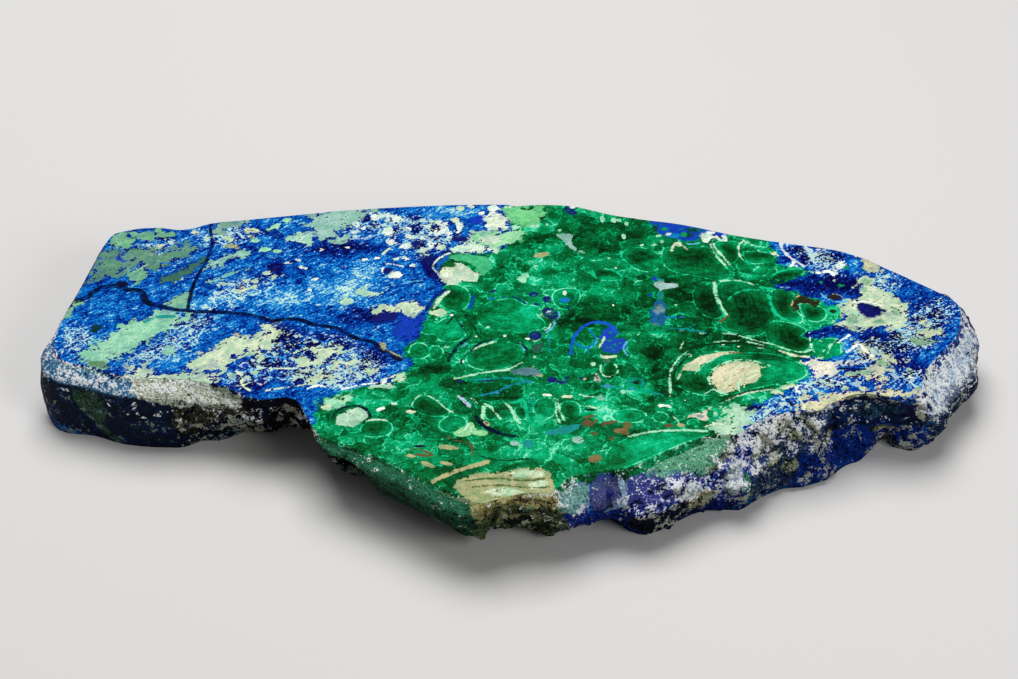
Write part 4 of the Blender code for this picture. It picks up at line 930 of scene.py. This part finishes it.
patch(NAVY, -18.1, 44.9, -21.9, 42.6, -24.8, 41.1, -26.3, 38, -25.8, 34.9, -23.8, 31.8,
      -21.5, 30.3, -22.7, 33.4, -24.2, 36.5, -23.1, 39.5, -21.2, 41.8, -18.5, 43.4)
patch((14, 90, 190), -22.9, 37.5, -21.4, 40.6, -19.2, 42.6, -18.8, 41.2, -20.6, 38, -21.2, 34.5,
      -22.4, 34.6)
line(WHITE, 0.7, -23.8, 36.8, -22.8, 39, -21.2, 41.8, -18.5, 43.8)
line(LILAC, 0.7, -23.8, 36.4, -22.7, 34.2, -21.3, 31.6)
patch((228, 232, 210), -16.2, 39.2, -13.5, 37.2, -11.2, 34.9, -9.2, 31.8, -10, 28.8, -12.7, 28.8,
      -14.6, 29.5, -15.8, 27.2, -18.1, 27.2, -20.4, 28.8, -21.2, 31.8, -19.6, 33.4, -17.3, 32.6,
      -15.8, 34.2, -16.9, 36.5)
spots_of((4, 92, 34), (-18, 37.6, 1.8, 1.5, 20))
patch(WHITE, -22.7, 61.1, -19.6, 60.3, -18.1, 56.5, -17.3, 53.4, -19.6, 51.8, -22.7, 53.4,
      -24.6, 55.3, -23.1, 58)
spots_of(WHITE, (-38, 55.3, 2.0, 2.3), (-36.9, 49.9, 1.6, 1.7), (-35.8, 62.2, 1.8, 2.2),
         (-42.7, 63.4, 1.5, 1.6), (-15.8, 58, 1.1, 2.6), (-23.5, 48, 2.2, 1.4),
         (-26.9, 45.7, 0.9, 2.0))
spots_of(NAVY, (-29.2, 48.8, 1.7, 1.6), (-15, 51.2, 3.0, 1.1))
line(NAVY, 1.3, -19.6, 24.4, -21.5, 22.5, -22.7, 20.7, -24.0, 17.2, -24.8, 14.6)
line(MINT_CREAM, 1.2, -18.4, 23.7, -20.4, 21.2, -21.8, 18.4, -22.7, 15.5)
flecked(-1.8, (-34, -57, 26, 7, -26), (-16, -68, 14, 6, -26))
flecked(-1.1, (0, -74, 16, 9), (48, -51, 14, 4, 28), (26, -62, 9, 6, 10), (104, -27, 16, 6, 5),
        (-66, -26, 12, 5))

# Outlines on the front walls, as seen from the front: (x, height) from the slab's middle.
# Some tints are darkened as painted shade on the front walls, and the near-white ones on the
# bevel are partly painted sheen.
walls = []


def wall(tint, *values):
    """A closed outline of one tint on the front walls."""
    walls.append((tint, rounded(np.reshape(values, (-1, 2)), closed=True)))


# Deep navy left wall: the azurite's colour darkened as painted shade.
wall((0, 26, 54), -141, 25, -80, 25, -80, 0, -141, 0)
wall((58, 92, 64), -131, 19, -122, 19, -119.5, 14, -119.5, 12, -122, 8, -118, 4, -115, 1, -120, 1,
     -125, 8, -129, 12.5)
wall((84, 80, 54), -99, 18, -84, 18.5, -76, 21, -73, 18, -84, 13, -90, 10, -93, 5, -98, 6,
     -101, 11)
wall((84, 148, 196), -141, 25.5, -107, 25.5, -106, 20, -115, 19.5, -124, 19.6, -134, 20, -141, 18)
# Near-white ground bevel: its pale frosting, brightened as painted sheen.
wall((244, 248, 220), -112, 26, -83, 26, -79, 22, -81, 19, -90, 17, -98, 16.5, -104, 18.5,
     -112, 20)
# Near black: painted shadow in the undercut below the front rim.
wall((3, 9, 32), -80, 23, -74, 25, -52, 25, -48, 20, -48, 0, -82, 0, -82, 8, -76, 12)
# Dark green at the foot of the green wall: its colour darkened as painted shade on the undercut.
wall((16, 52, 36), -46, 18, -40, 16, -28, 15, -14, 12, -10, 0, -48, 0)
wall((52, 128, 92), -58, 26, -12, 26, -11, 17.5, -20, 17, -32, 17, -45, 20, -56, 21)
wall((24, 86, 60), -45, 20, -32, 17.2, -20, 17.2, -10, 17.7, -9, 10, -14, 12, -28, 14, -40, 15.5)
wall((104, 112, 70), -12, 19, 14, 20, 16, 10, 14, 0, -12, 0)
wall((214, 196, 130), -13, 26, 14, 26, 14, 20.5, 6, 18.5, 0, 20, -8, 17.5, -12, 19)
wall((134, 116, 66), -12, 22.6, -4, 23.4, 4, 22.2, 12, 23.2, 12, 22.4, 4, 21.2, -4, 22.2,
     -12, 21.6)
wall((40, 46, 24), -8, 15, 0, 18.6, 9, 16, 11, 8, 0, 4.5, -7, 9)
wall((170, 160, 104), -6, 14.5, 0, 17, 6, 14.6, 8, 9, 0, 6.5, -5, 10)
wall((16, 20, 10), -4, 13.5, 0, 15.4, 5, 13, 5, 9.5, 0, 8, -3, 11)
wall((0, 40, 150), 13, 14, 40, 15, 46, 9, 62, 10, 66, 0, 13, 0)
wall((140, 196, 190), 11, 26, 19.5, 26, 20.5, 20, 20.8, 17.4, 16.6, 15, 12.4, 18)
wall((10, 64, 190), 12.6, 17.2, 16.3, 15.4, 19.6, 14.3, 24, 13, 22, 11, 17, 11.4, 13.6, 13)
wall((4, 50, 214), 18.5, 26, 33, 26, 32, 23.2, 27.8, 21.6, 22, 21, 19.6, 21.4)
wall((92, 96, 160), 20, 21.2, 27.8, 21.8, 29.4, 18.4, 28, 15, 24.4, 13.6, 21.4, 15.4, 20.8, 18)
wall((0, 14, 110), 24.8, 18.8, 27.6, 17.8, 28, 15, 25.4, 15.2)
wall((170, 200, 232), 28.2, 22.4, 29.8, 22.4, 31, 18.4, 29.6, 14.2, 25, 12.2, 24.6, 13.2, 28.4, 15,
     29.8, 18.4)
wall((70, 78, 170), 31, 24, 33, 22.8, 36, 21.4, 44, 19.2, 53.5, 16.4, 52, 13.5, 42, 14, 33.6, 14.6,
     31, 16.5)
# Near black below the ledge: painted shade beneath its overhang.
wall((2, 8, 40), 32, 13.4, 42, 12.6, 50, 11.4, 54, 4, 46, 0, 33, 2, 31, 8)
wall((120, 200, 158), 32.4, 26, 63, 26, 62.4, 22, 58.4, 18.6, 53.3, 16.8, 44, 19.6, 36, 21.8)
wall((14, 66, 190), 56, 17.4, 62, 20.6, 66, 24, 70, 24, 70, 12, 64, 4, 57, 6, 54, 12)
wall((130, 142, 124), 53.6, 17.2, 58.4, 19.4, 61, 22.6, 63.4, 23.6, 63.6, 21.2, 59, 17.4, 55, 15.8)
wall((224, 234, 246), 58.8, 15.6, 62, 17.2, 64.6, 15, 64, 10, 60.6, 8.4, 58.6, 11)
wall((232, 236, 244), 45.5, 15.6, 51.6, 15.6, 53.2, 12.8, 49, 11.4, 46, 12.8)
wall((232, 222, 178), 48.4, 12.6, 52, 13.2, 56.4, 12, 55.6, 7, 51, 5.4, 48.4, 8)
wall((70, 150, 100), 64.4, 14, 66.8, 14.4, 67.4, 6, 64.4, 4.6)
wall((50, 82, 130), 67, 26, 92, 26, 94, 14, 84, 4, 72, 0, 66, 8, 67, 14)
for blob_x, blob_z, across in ((70, 18, 2.6), (76, 21, 3.2), (74, 12, 2.2),
                               (80, 17, 2.8), (85, 20, 2.2), (79, 8, 3.0)):
    wall((214, 216, 178), *(value for turn in range(6) for value in (
        blob_x + across * cos(pi * turn / 3), blob_z + 0.8 * across * sin(pi * turn / 3))))
wall((0, 66, 190), 82, 13, 100, 12, 122, 11, 127, 3, 100, 0, 76, 0, 82, 5)
wall((0, 40, 96), 90, 22, 118, 22, 121, 10, 100, 12, 88, 12)
wall((36, 78, 110), 94, 20, 112, 20, 114, 15, 98, 15)
wall((156, 160, 108), 88.6, 15.4, 91.6, 15.4, 91.6, 12, 88.8, 12)
wall((156, 160, 108), 104, 10, 111, 10.4, 111, 7.4, 105, 7.2)
wall((20, 60, 110), 121, 16, 142, 16, 142, 0, 121, 0)
# Blue-white right bevel: its pale frosting, brightened as painted sheen.
wall((206, 226, 250), 117, 26, 142, 26, 142, 16, 132, 15, 121, 17)


def close_to(points, path, reach):
    """Which points lie within a reach of a path's box."""
    low, high = path.min(axis=0) - reach, path.max(axis=0) + reach
    return np.flatnonzero(((points > low) & (points < high)).all(axis=1))


def line_distance(points, reach):
    """How far inside the nearest line's edge each point is, and which line; -reach when clear."""
    depth = np.full(len(points), -reach)
    owner = np.full(len(points), -1)
    for index, (_, width, path) in enumerate(lines):
        near = close_to(points, path, reach + width)
        gap = np.full(len(near), reach)
        for start, end in zip(path[:-1], path[1:]):
            gap = np.minimum(gap, run_distance(points[near], start, end))
        better = width / 2 - gap > depth[near]
        depth[near[better]] = width / 2 - gap[better]
        owner[near[better]] = index
    return depth, owner


def area_distance(points, outlines, reach):
    """The same for closed outlines; a later outline lies over an earlier one."""
    depth = np.full(len(points), -reach)
    owner = np.full(len(points), -1)
    for index, outline in enumerate(outlines):
        near = close_to(points, outline, reach)
        found = outline_distance(points[near], outline)
        better = (found > depth[near]) | (found > 0.0)
        depth[near[better]] = found[better]
        owner[near[better]] = index
    return depth, owner


# The face's points: coarse ones everywhere, close ones beside lines and small patches.
coarse = lattice(FACE_SPACING)
coarse = coarse[outline_distance(coarse, rim_points) > RIM_CLEAR * FACE_SPACING]
small = [outline for _, outline in patches if np.ptp(outline, axis=0).max() < SMALL_PATCH]


def is_close(points):
    """Which points lie beside a line or a small patch."""
    by_line = line_distance(points, LINE_REACH)[0] > -LINE_REACH
    return by_line | (area_distance(points, small, LINE_REACH)[0] > -LINE_REACH)


coarse = coarse[~is_close(coarse)]
close = lattice(LINE_SPACING)
close = close[is_close(close)]
close = close[outline_distance(close, rim_points) > RIM_CLEAR * LINE_SPACING]
fill_rim(rim, rim_points, np.concatenate([coarse, close]), THICKNESS)
beneath = lattice(UNDER_SPACING)
beneath = beneath[outline_distance(beneath, under_points) > RIM_CLEAR * UNDER_SPACING]
fill_rim(under_rim, under_points, beneath, 0.0)
bmesh.ops.triangulate(stone, faces=[face for face in stone.faces if len(face.verts) > 3])
bmesh.ops.recalc_face_normals(stone, faces=stone.faces[:])

# Four finishes: the polish, the ground bevel, the sawn back and underside, and broken stone.
POLISHED, GROUND, SAWN, BROKEN = range(4)
BEVEL_TILT = 0.25           # the least upward tilt of a ground bevel
BEVEL_LOW = 11.0            # its lowest point
BEVEL_BACK = 16.0           # how far back along the ends it goes
SAWN_ROUGHNESS = 0.25       # a wall smoother than this is a saw cut
FACET_LEFT, FACET_RIGHT = 33.0, 62.0


def on_facet(place):
    """Whether a place lies on the wide ground facet over the front ledge."""
    falling = 23.2 - 0.31 * (place.x - FACET_LEFT)
    rising = 16.8 + 0.7 * (place.x - 54.0)
    return (FACET_LEFT < place.x < FACET_RIGHT and place.y < 0.0
            and place.z > max(falling, rising))


for face in stone.faces:
    middle = face.calc_center_median() / MM
    gaps = np.hypot(spots[:, 0] - middle.x, spots[:, 1] - middle.y)
    bevelled = face.normal.z > BEVEL_TILT and middle.z > BEVEL_LOW and middle.y < BEVEL_BACK
    if middle.z > THICKNESS - SKIN:
        face.material_index = POLISHED
    elif middle.z < SKIN:
        face.material_index = SAWN
    elif bevelled or on_facet(middle):
        face.material_index = GROUND
    elif spots[gaps.argmin(), 2] < SAWN_ROUGHNESS:
        face.material_index = SAWN
    else:
        face.material_index = BROKEN
    face.smooth = middle.z < THICKNESS - SKIN
stone.to_mesh(polished_slab.data)
stone.free()


def colour_of(tint):
    """A tint of 0 to 255 as the shader's linear colour."""
    share = np.array(tint) / 255.0
    return np.where(share <= 0.04045, share / 12.92, ((share + 0.055) / 1.055) ** 2.4)


def keep(name, values):
    """Store one number, or one colour, for each vertex."""
    kind = "FLOAT" if values.ndim == 1 else "FLOAT_COLOR"
    attribute = polished_slab.data.attributes.new(name, kind, "POINT")
    if values.ndim == 1:
        attribute.data.foreach_set("value", values.astype(np.float32))
    else:
        colours = np.concatenate([values, np.ones((len(values), 1))], axis=1)
        attribute.data.foreach_set("color", colours.astype(np.float32).ravel())


vertex_count = len(polished_slab.data.vertices)
places = np.empty(vertex_count * 3)
polished_slab.data.vertices.foreach_get("co", places)
places = places.reshape(-1, 3) / MM
plan = places[:, :2]
REACH = 5.0                 # how far outside a patch its depth is still kept
LINE_FAR, LOBE_FAR, MALACHITE_FAR = 3.0, 4.0, 20.0      # and outside lines, growths, malachite
WELL_INSIDE = 4.0           # a patch this far inside the malachite has a calmer edge
CALM, WALL_CALM = 0.3, 0.75 # how much calmer, and on the walls
BELOW_FACE = 0.05
FRONT_BACK = 14.0           # the walls' outlines lie only on stone in front of this
WALL_LAP = 0.8              # how far outside themselves they take over from the face's
WALL_FADE_BACK = 12.0       # where they start to fade out
FADE_RATE, FADE_POWER, MOST = 0.9, 1.5, 1.2             # of shades and flecks


def raggedness(outline):
    """How far an outline's edge wanders, in millimetres: more for a larger one."""
    onward = np.roll(outline, -1, axis=0)
    area = abs(np.sum(outline[:, 0] * onward[:, 1] - outline[:, 1] * onward[:, 0])) / 2
    return np.clip(0.45 * np.sqrt(area / pi), 0.75, 3.2)


# Patches of the face, and over them on the front walls the walls' own outlines.  Their depths
# are kept as shares of the distance that each outline's edge wanders.
outlines = [outline for _, outline in patches]
wall_outlines = [outline for _, outline in walls]
patch_depth, patch_owner = area_distance(plan, outlines, REACH)
in_malachite = [outline_distance(outline.mean(axis=0, keepdims=True), malachite)[0] > WELL_INSIDE
                for outline in outlines]
patch_ragged = np.array([raggedness(outline) * (CALM if inside else 1.0)
                         for inside, outline in zip(in_malachite, outlines)])[patch_owner]
patch_colour = np.array([colour_of(tint) for tint, _ in patches])[patch_owner]

on_front = (places[:, 2] < THICKNESS - BELOW_FACE) & (places[:, 1] < FRONT_BACK)
underside = np.flatnonzero(places[:, 2] < SKIN)
on_front[underside[outline_distance(plan[underside], under_points) > SKIN]] = False
on_front = np.flatnonzero(on_front)
wall_depth, wall_owner = area_distance(places[on_front][:, [0, 2]], wall_outlines, REACH)
lies_on = wall_depth > -WALL_LAP
covered, owner = on_front[lies_on], wall_owner[lies_on]
patch_ragged[covered] = np.array([WALL_CALM * raggedness(outline)
                                  for outline in wall_outlines])[owner]
patch_depth[covered] = np.minimum(wall_depth[lies_on] + 0.5 * patch_ragged[covered],
                                  0.5 * (WALL_FADE_BACK - places[covered, 1]))
patch_colour[covered] = np.array([colour_of(tint) for tint, _ in walls])[owner]
line_depth, line_owner = line_distance(plan, LINE_FAR)
lobe_depth, _ = area_distance(plan, lobes, LOBE_FAR)


def soft_sum(ellipses):
    """Ellipses of some strength, each fading out from its middle, added up."""
    total = np.zeros(vertex_count)
    for strength, x, y, long, across, turn in ellipses:
        east, north = plan[:, 0] - x, plan[:, 1] - y
        along = (east * cos(turn) + north * sin(turn)) / long
        over = (north * cos(turn) - east * sin(turn)) / across
        total += strength * np.exp(-FADE_RATE * (along ** 2 + over ** 2) ** FADE_POWER)
    return np.clip(total, -MOST, MOST)


keep("malachite_mm", np.clip(outline_distance(plan, malachite), -MALACHITE_FAR, MALACHITE_FAR))
keep("patch_share", patch_depth / patch_ragged)
keep("patch_tint", patch_colour)
keep("line_mm", line_depth)
keep("line_tint", np.array([colour_of(tint) for tint, _, _ in lines])[line_owner])
keep("lobe_mm", lobe_depth)
keep("depth", soft_sum(shades))
keep("flecks", soft_sum(fleckings))

# ---------------------------------------------------------------------------------------------
# The finishes.  One group paints the minerals from the outlines and gives them their grain; each
# finish sets how pale or rough its surface leaves them.  The pale cover is dust and crust, and on
# the ground bevel partly painted sheen; broken stone also gets painted shade in its hollows.
# ---------------------------------------------------------------------------------------------


class Tree:
    """A node tree, with short ways to add its nodes."""

    def __init__(self, tree):
        self.tree = tree

    def add(self, kind, inputs=(), **settings):
        """A node with its settings and its inputs, by name or number; a socket is linked."""
        node = self.tree.nodes.new(kind if kind.startswith("NodeGroup") else "ShaderNode" + kind)
        for name, value in settings.items():
            setattr(node, name, value)
        for name, value in dict(inputs).items():
            if isinstance(value, bpy.types.NodeSocket):
                self.tree.links.new(value, node.inputs[name])
            else:
                node.inputs[name].default_value = value
        return node

    def maths(self, operation, *values):
        """Values through a Math node."""
        return self.add("Math", enumerate(values), operation=operation).outputs[0]

    def times(self, first, second):
        """Two values multiplied."""
        return self.maths("MULTIPLY", first, second)

    def inverse(self, share):
        """What a share leaves of 1."""
        return self.maths("SUBTRACT", 1.0, share)

    def total(self, offset, *terms):
        """An offset and some values, each times its weight, added up."""
        for value, weight in terms:
            offset = self.maths("MULTIPLY_ADD", value, weight, offset)
        return offset

    def noise(self, place, scale, detail, roughness, distortion=0.0):
        """Noise at a scale, centred on zero."""
        node = self.add("TexNoise", {"Vector": place, "Scale": scale, "Detail": detail,
                                     "Roughness": roughness, "Distortion": distortion})
        return self.maths("SUBTRACT", node.outputs[0], 0.5)

    def attribute(self, name, output="Fac"):
        """An attribute of the mesh."""
        return self.add("Attribute", attribute_name=name).outputs[output]

    def fade(self, value, low, high):
        """0 below low, 1 above high, and smooth between."""
        node = self.add("MapRange", {"Value": value, "From Min": low, "From Max": high},
                        interpolation_type="SMOOTHSTEP")
        return node.outputs["Result"]

    def blend(self, share, first, second):
        """Two values mixed."""
        return self.add("Mix", {0: share, 2: first, 3: second}).outputs[0]

    def mix(self, share, first, second, **settings):
        """Two colours mixed."""
        return self.add("Mix", {0: share, 6: first, 7: second}, data_type="RGBA",
                        **settings).outputs[2]

    def darken(self, share, colour, shade):
        """A colour multiplied by a shade, by a share."""
        return self.mix(share, colour, (*shade, 1.0), blend_type="MULTIPLY")

    def ramp(self, value, *stops):
        """A colour ramp; each stop is (position, tint)."""
        node = self.add("ValToRGB", {"Fac": value})
        elements = node.color_ramp.elements
        elements[0].position, elements[0].color = stops[0][0], (*colour_of(stops[0][1]), 1.0)
        elements[1].position, elements[1].color = stops[-1][0], (*colour_of(stops[-1][1]), 1.0)
        for position, tint in stops[1:-1]:
            elements.new(position).color = (*colour_of(tint), 1.0)
        return node.outputs[0]


def linear(tint):
    """A tint as an RGBA value for a socket."""
    return (*colour_of(tint), 1.0)


group = bpy.data.node_groups.new("azurite_and_malachite", "ShaderNodeTree")
# The pale cover is dust and crust, and on the ground bevel partly painted sheen; Broken also sets
# how much painted shade falls in the relief's hollows.
for name, kind, value in (("Broken", "NodeSocketFloat", 0.0), ("Dust and Sheen", "NodeSocketFloat", 0.0),
                          ("Dust and Sheen Tint", "NodeSocketColor", (0.6, 0.65, 0.6, 1.0))):
    socket = group.interface.new_socket(name=name, in_out="INPUT", socket_type=kind)
    socket.default_value = value
for name, kind in (("Color", "NodeSocketColor"), ("Matrix", "NodeSocketFloat"),
                   ("Relief", "NodeSocketFloat")):
    group.interface.new_socket(name=name, in_out="OUTPUT", socket_type=kind)
paint = Tree(group)
given = paint.add("NodeGroupInput").outputs
at = paint.add("TexCoord").outputs["Object"]
mm = paint.add("VectorMath", {0: at, "Scale": 1.0 / MM}, operation="SCALE").outputs[0]

# Grain at three sizes and streaks that climb to the right, and the ragged edges they make.
broad = paint.noise(mm, 0.055, 4, 0.55)
grain = paint.noise(mm, 0.40, 4, 0.55)
fine = paint.noise(mm, 1.5, 3, 0.55)
turned = paint.add("Mapping", {"Vector": mm, "Rotation": (0.0, 0.0, radians(-40.0))}).outputs[0]
drawn_out = paint.add("Mapping", {"Vector": turned, "Scale": (0.09, 0.26, 0.2)}).outputs[0]
streaks = paint.noise(drawn_out, 1.0, 8, 0.66, 0.3)
drawn_fine = paint.noise(drawn_out, 4.0, 5, 0.68)
depth = paint.attribute("depth")
flecks = paint.attribute("flecks")
lumps = paint.noise(mm, 0.19, 5, 0.62)
ragged = paint.total(0.0, (streaks, 1.6), (drawn_fine, 2.3), (grain, 4.0), (fine, 1.8),
                     (paint.times(lumps, given["Broken"]), 5.0))
broken_up = paint.total(1.0, (paint.maths("MAXIMUM", flecks, 0.0), 0.8))
shattered = paint.times(ragged, broken_up)


def banded(place):
    """Light and dark bands of all widths along a value, centred on zero."""
    node = paint.add("TexNoise", {"W": place, "Scale": 1.0, "Detail": 2.5, "Roughness": 0.6},
                     noise_dimensions="1D")
    return paint.maths("SUBTRACT", node.outputs[0], 0.5)


# A slow field, and chips and cells in a stirred space, with the net between the cells.
field = paint.noise(mm, 0.13, 4, 0.55, 0.5)
stirred = paint.add("TexNoise", {"Vector": mm, "Scale": 0.22, "Detail": 3.0}).outputs["Color"]
stirred = paint.add("VectorMath", {0: stirred, "Scale": 7.0}, operation="SCALE").outputs[0]
stirred = paint.add("VectorMath", {0: stirred, 1: mm}, operation="ADD").outputs[0]
chip = paint.add("TexVoronoi", {"Vector": stirred, "Scale": 0.46, "Randomness": 1.0})
chosen = paint.add("SeparateColor", {0: chip.outputs["Color"]}).outputs[0]
cell_space = {"Vector": stirred, "Scale": 0.17}
cells = paint.add("TexVoronoi", cell_space)
cell = cells.outputs["Distance"]
cell_pick = paint.add("SeparateColor", {0: cells.outputs["Color"]}).outputs[0]
cell_edge = paint.add("TexVoronoi", cell_space, feature="DISTANCE_TO_EDGE").outputs[0]
breccia = paint.fade(flecks, 0.4, 1.0)
net_edge = paint.maths("ADD", cell_edge, paint.times(grain, 0.1))
net = paint.inverse(paint.fade(net_edge, 0.0, 0.07))

# Azurite: streaked and speckled, from navy to sky blue, and deeper beside the pale patches.
patch_share = paint.maths("MINIMUM", paint.attribute("patch_share"), 0.95)
patch_edge = paint.maths("ADD", patch_share, shattered)
beside = paint.fade(patch_edge, -0.9, 0.0)
field_bands = banded(paint.times(field, 11.0))
veins = paint.times(breccia, net)
fragments = paint.times(breccia, paint.maths("SUBTRACT", cell_pick, 0.75))
azure = paint.total(0.40, (streaks, 0.30), (drawn_fine, 1.15), (grain, 0.45), (fine, 1.10),
                    (chosen, 0.16), (broad, 0.22), (field_bands, 0.15), (depth, -0.34),
                    (beside, -0.09), (veins, 0.45), (fragments, 0.24))
azurite = paint.ramp(azure, (0.14, (0, 2, 60)), (0.28, (0, 18, 108)), (0.40, (0, 56, 150)),
                     (0.50, (2, 92, 178)), (0.62, (8, 122, 196)), (0.71, (44, 150, 204)),
                     (0.77, (156, 206, 208)), (0.90, (196, 226, 206)))

# Malachite: rounded cells and wandering bands, and bands that follow the larger growths.
growth = paint.total(paint.attribute("lobe_mm"), (grain, 0.9), (fine, 0.3))
within = paint.fade(growth, -0.2, 0.35)
crest = paint.maths("PINGPONG", paint.total(0.0, (field, 7.0), (grain, 0.9)), 0.5)
crest = paint.maths("MAXIMUM", paint.inverse(paint.fade(crest, 0.01, 0.06)),
                    paint.inverse(paint.fade(cell_edge, 0.01, 0.045)))
strong = paint.fade(paint.total(0.0, (broad, 1.0), (grain, 1.8)), -0.10, 0.05)
cell_bands = banded(paint.total(0.0, (cell, 6.0), (field, 9.0), (grain, 1.2)))
moss = paint.total(-0.07, (cell_bands, 0.52), (grain, 0.45), (fine, 0.55), (cell_pick, 0.20),
                   (paint.times(crest, strong), 0.28))
growth_bands = banded(paint.times(growth, 1.15))
calm = paint.total(0.03, (growth_bands, 0.42), (grain, 0.6), (fine, 0.5), (lumps, 0.2))
green = paint.blend(within, moss, calm)
rim_light = paint.inverse(paint.fade(paint.maths("ABSOLUTE", growth), 0.04, 0.32))
here = paint.fade(paint.total(0.0, (broad, 0.8), (grain, 1.8)), -0.3, 0.1)
rim_light = paint.times(rim_light, here)
green = paint.total(green, (broad, 0.2), (rim_light, 0.34), (depth, -0.23))
green = paint.maths("ADD", green, 0.385)
malachite_colour = paint.ramp(green, (0.08, (0, 26, 6)), (0.22, (0, 58, 20)), (0.38, (0, 96, 46)),
                              (0.52, (0, 136, 80)), (0.64, (0, 168, 110)), (0.76, (24, 198, 146)),
                              (0.92, (140, 224, 186)))
side = paint.total(paint.attribute("malachite_mm"), (ragged, 1.6))
colour = paint.mix(paint.fade(side, -0.3, 0.3), azurite, malachite_colour)

# Pale flecks in the azurite: broken chips, and specks drawn out along the streaks.
FLECK_TINT = (186, 216, 198)
chips = paint.total(-1.25, (chosen, 1.3), (flecks, 0.48), (chip.outputs["Distance"], -0.75),
                    (grain, 0.9), (fine, 0.9))
speck = paint.total(0.0, (drawn_fine, 0.85), (fine, 0.95), (grain, 0.35), (broad, 0.3),
                    (flecks, 0.14))
pale = paint.maths("MAXIMUM", paint.fade(chips, -0.06, 0.06), paint.fade(speck, 0.20, 0.25))
in_azurite = paint.fade(paint.times(side, -1.0), 0.2, 1.6)
share = paint.times(paint.times(pale, 0.85), in_azurite)
colour = paint.mix(share, colour, linear(FLECK_TINT))

# The patches, mottled darker, with the mineral behind showing through pores and at their edges.
patched = paint.fade(patch_edge, -0.08, 0.10)
tint = paint.attribute("patch_tint", "Color")
mottle = paint.fade(paint.total(0.0, (drawn_fine, 1.2), (grain, 1.8), (fine, 1.2)), -0.12, 0.26)
veil = paint.fade(paint.total(0.0, (drawn_fine, -1.6), (fine, -1.0), (lumps, 1.2)), 0.02, 0.22)
patched = paint.times(patched, paint.total(1.0, (veil, -0.45)))
darker = paint.darken(1.0, tint, (0.42, 0.66, 0.62))
tint = paint.mix(paint.times(mottle, 0.75), tint, darker)
colour = paint.mix(patched, colour, tint)

# The fine seams; the pale dust that a ground or broken surface leaves over everything, which on
# the ground bevel is partly painted sheen; and painted shade in the relief's hollows.
seam_edge = paint.total(paint.attribute("line_mm"), (ragged, 0.28), (fine, 0.3))
seamed = paint.fade(seam_edge, -0.10, 0.12)
gaps_in_seams = paint.fade(paint.total(0.0, (grain, 1.0), (fine, 1.0)), -0.4, 0.1)
seamed = paint.times(seamed, gaps_in_seams)
colour = paint.mix(seamed, colour, paint.attribute("line_tint", "Color"))
relief = paint.total(0.0, (lumps, 1.0), (grain, 1.0), (fine, 0.8))
speckle = paint.total(0.0, (fine, 1.1), (drawn_fine, 0.9), (grain, 0.7))
crust = paint.total(0.0, (lumps, 1.6), (grain, 1.3), (fine, 0.9))
wear_and_sheen = paint.blend(given["Broken"], speckle, crust)
wear_and_sheen = paint.total(-0.61, (wear_and_sheen, 1.0), (given["Dust and Sheen"], 0.68), (flecks, 0.16))
dust_and_sheen_share = paint.times(paint.fade(wear_and_sheen, -0.02, 0.07), 0.9)
colour = paint.mix(dust_and_sheen_share, colour, given["Dust and Sheen Tint"])
# Painted shade: the relief's low points are darkened almost to black, the more so where more
# broken.
painted_hollow_shade = paint.fade(paint.total(0.0, (grain, -1.0), (fine, -1.2), (lumps, -0.6)), 0.0, 0.13)
colour = paint.darken(paint.times(painted_hollow_shade, given["Broken"]), colour, (0.05, 0.07, 0.10))
paint.add("NodeGroupOutput", {"Color": colour, "Matrix": patched, "Relief": relief})


SPECULAR = 0.1


def stone_finish(name, roughness):
    """A material with the mineral group in it, ready for its gloss and relief."""
    material = bpy.data.materials.new(name)
    material.use_nodes = True
    tree = Tree(material.node_tree)
    minerals = tree.add("Group", node_tree=group)
    shader = material.node_tree.nodes["Principled BSDF"]
    shader.inputs["Roughness"].default_value = roughness
    shader.inputs["Specular IOR Level"].default_value = SPECULAR
    tree.tree.links.new(minerals.outputs["Color"], shader.inputs["Base Color"])
    polished_slab.data.materials.append(material)
    return tree, minerals, shader


# The polish is duller on pale matrix.
tree, minerals, shader = stone_finish("polished_face", 0.2)
gloss = tree.total(0.16, (minerals.outputs["Matrix"], 0.14))
tree.tree.links.new(gloss, shader.inputs["Roughness"])

# The rest has relief, to a depth in millimetres, and is more or less broken and dusty.  The
# ground bevel's near-white cover is partly painted sheen, and the more broken a finish, the more
# painted shade darkens its hollows.
for name, roughness, relief_depth, broken, dust_and_sheen, dust_and_sheen_tint in (
        # Near-white cover on the ground bevel: its frosting, brightened as painted sheen.
        ("ground_bevel", 0.5, 1.5, 0.45, 0.88, (246, 250, 250)),
        ("sawn_stone", 0.7, 2.5, 0.9, 0.56, (130, 150, 130)),
        ("broken_stone", 0.8, 6.0, 1.0, 0.70, (216, 222, 200))):
    tree, minerals, shader = stone_finish(name, roughness)
    minerals.inputs["Broken"].default_value = broken
    minerals.inputs["Dust and Sheen"].default_value = dust_and_sheen
    minerals.inputs["Dust and Sheen Tint"].default_value = linear(dust_and_sheen_tint)
    bump = tree.add("Bump", {"Height": minerals.outputs["Relief"],
                             "Distance": relief_depth * MM, "Strength": 1.0})
    tree.tree.links.new(bump.outputs[0], shader.inputs["Normal"])

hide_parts("azurite_malachite_slab")
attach(polished_slab, "root")
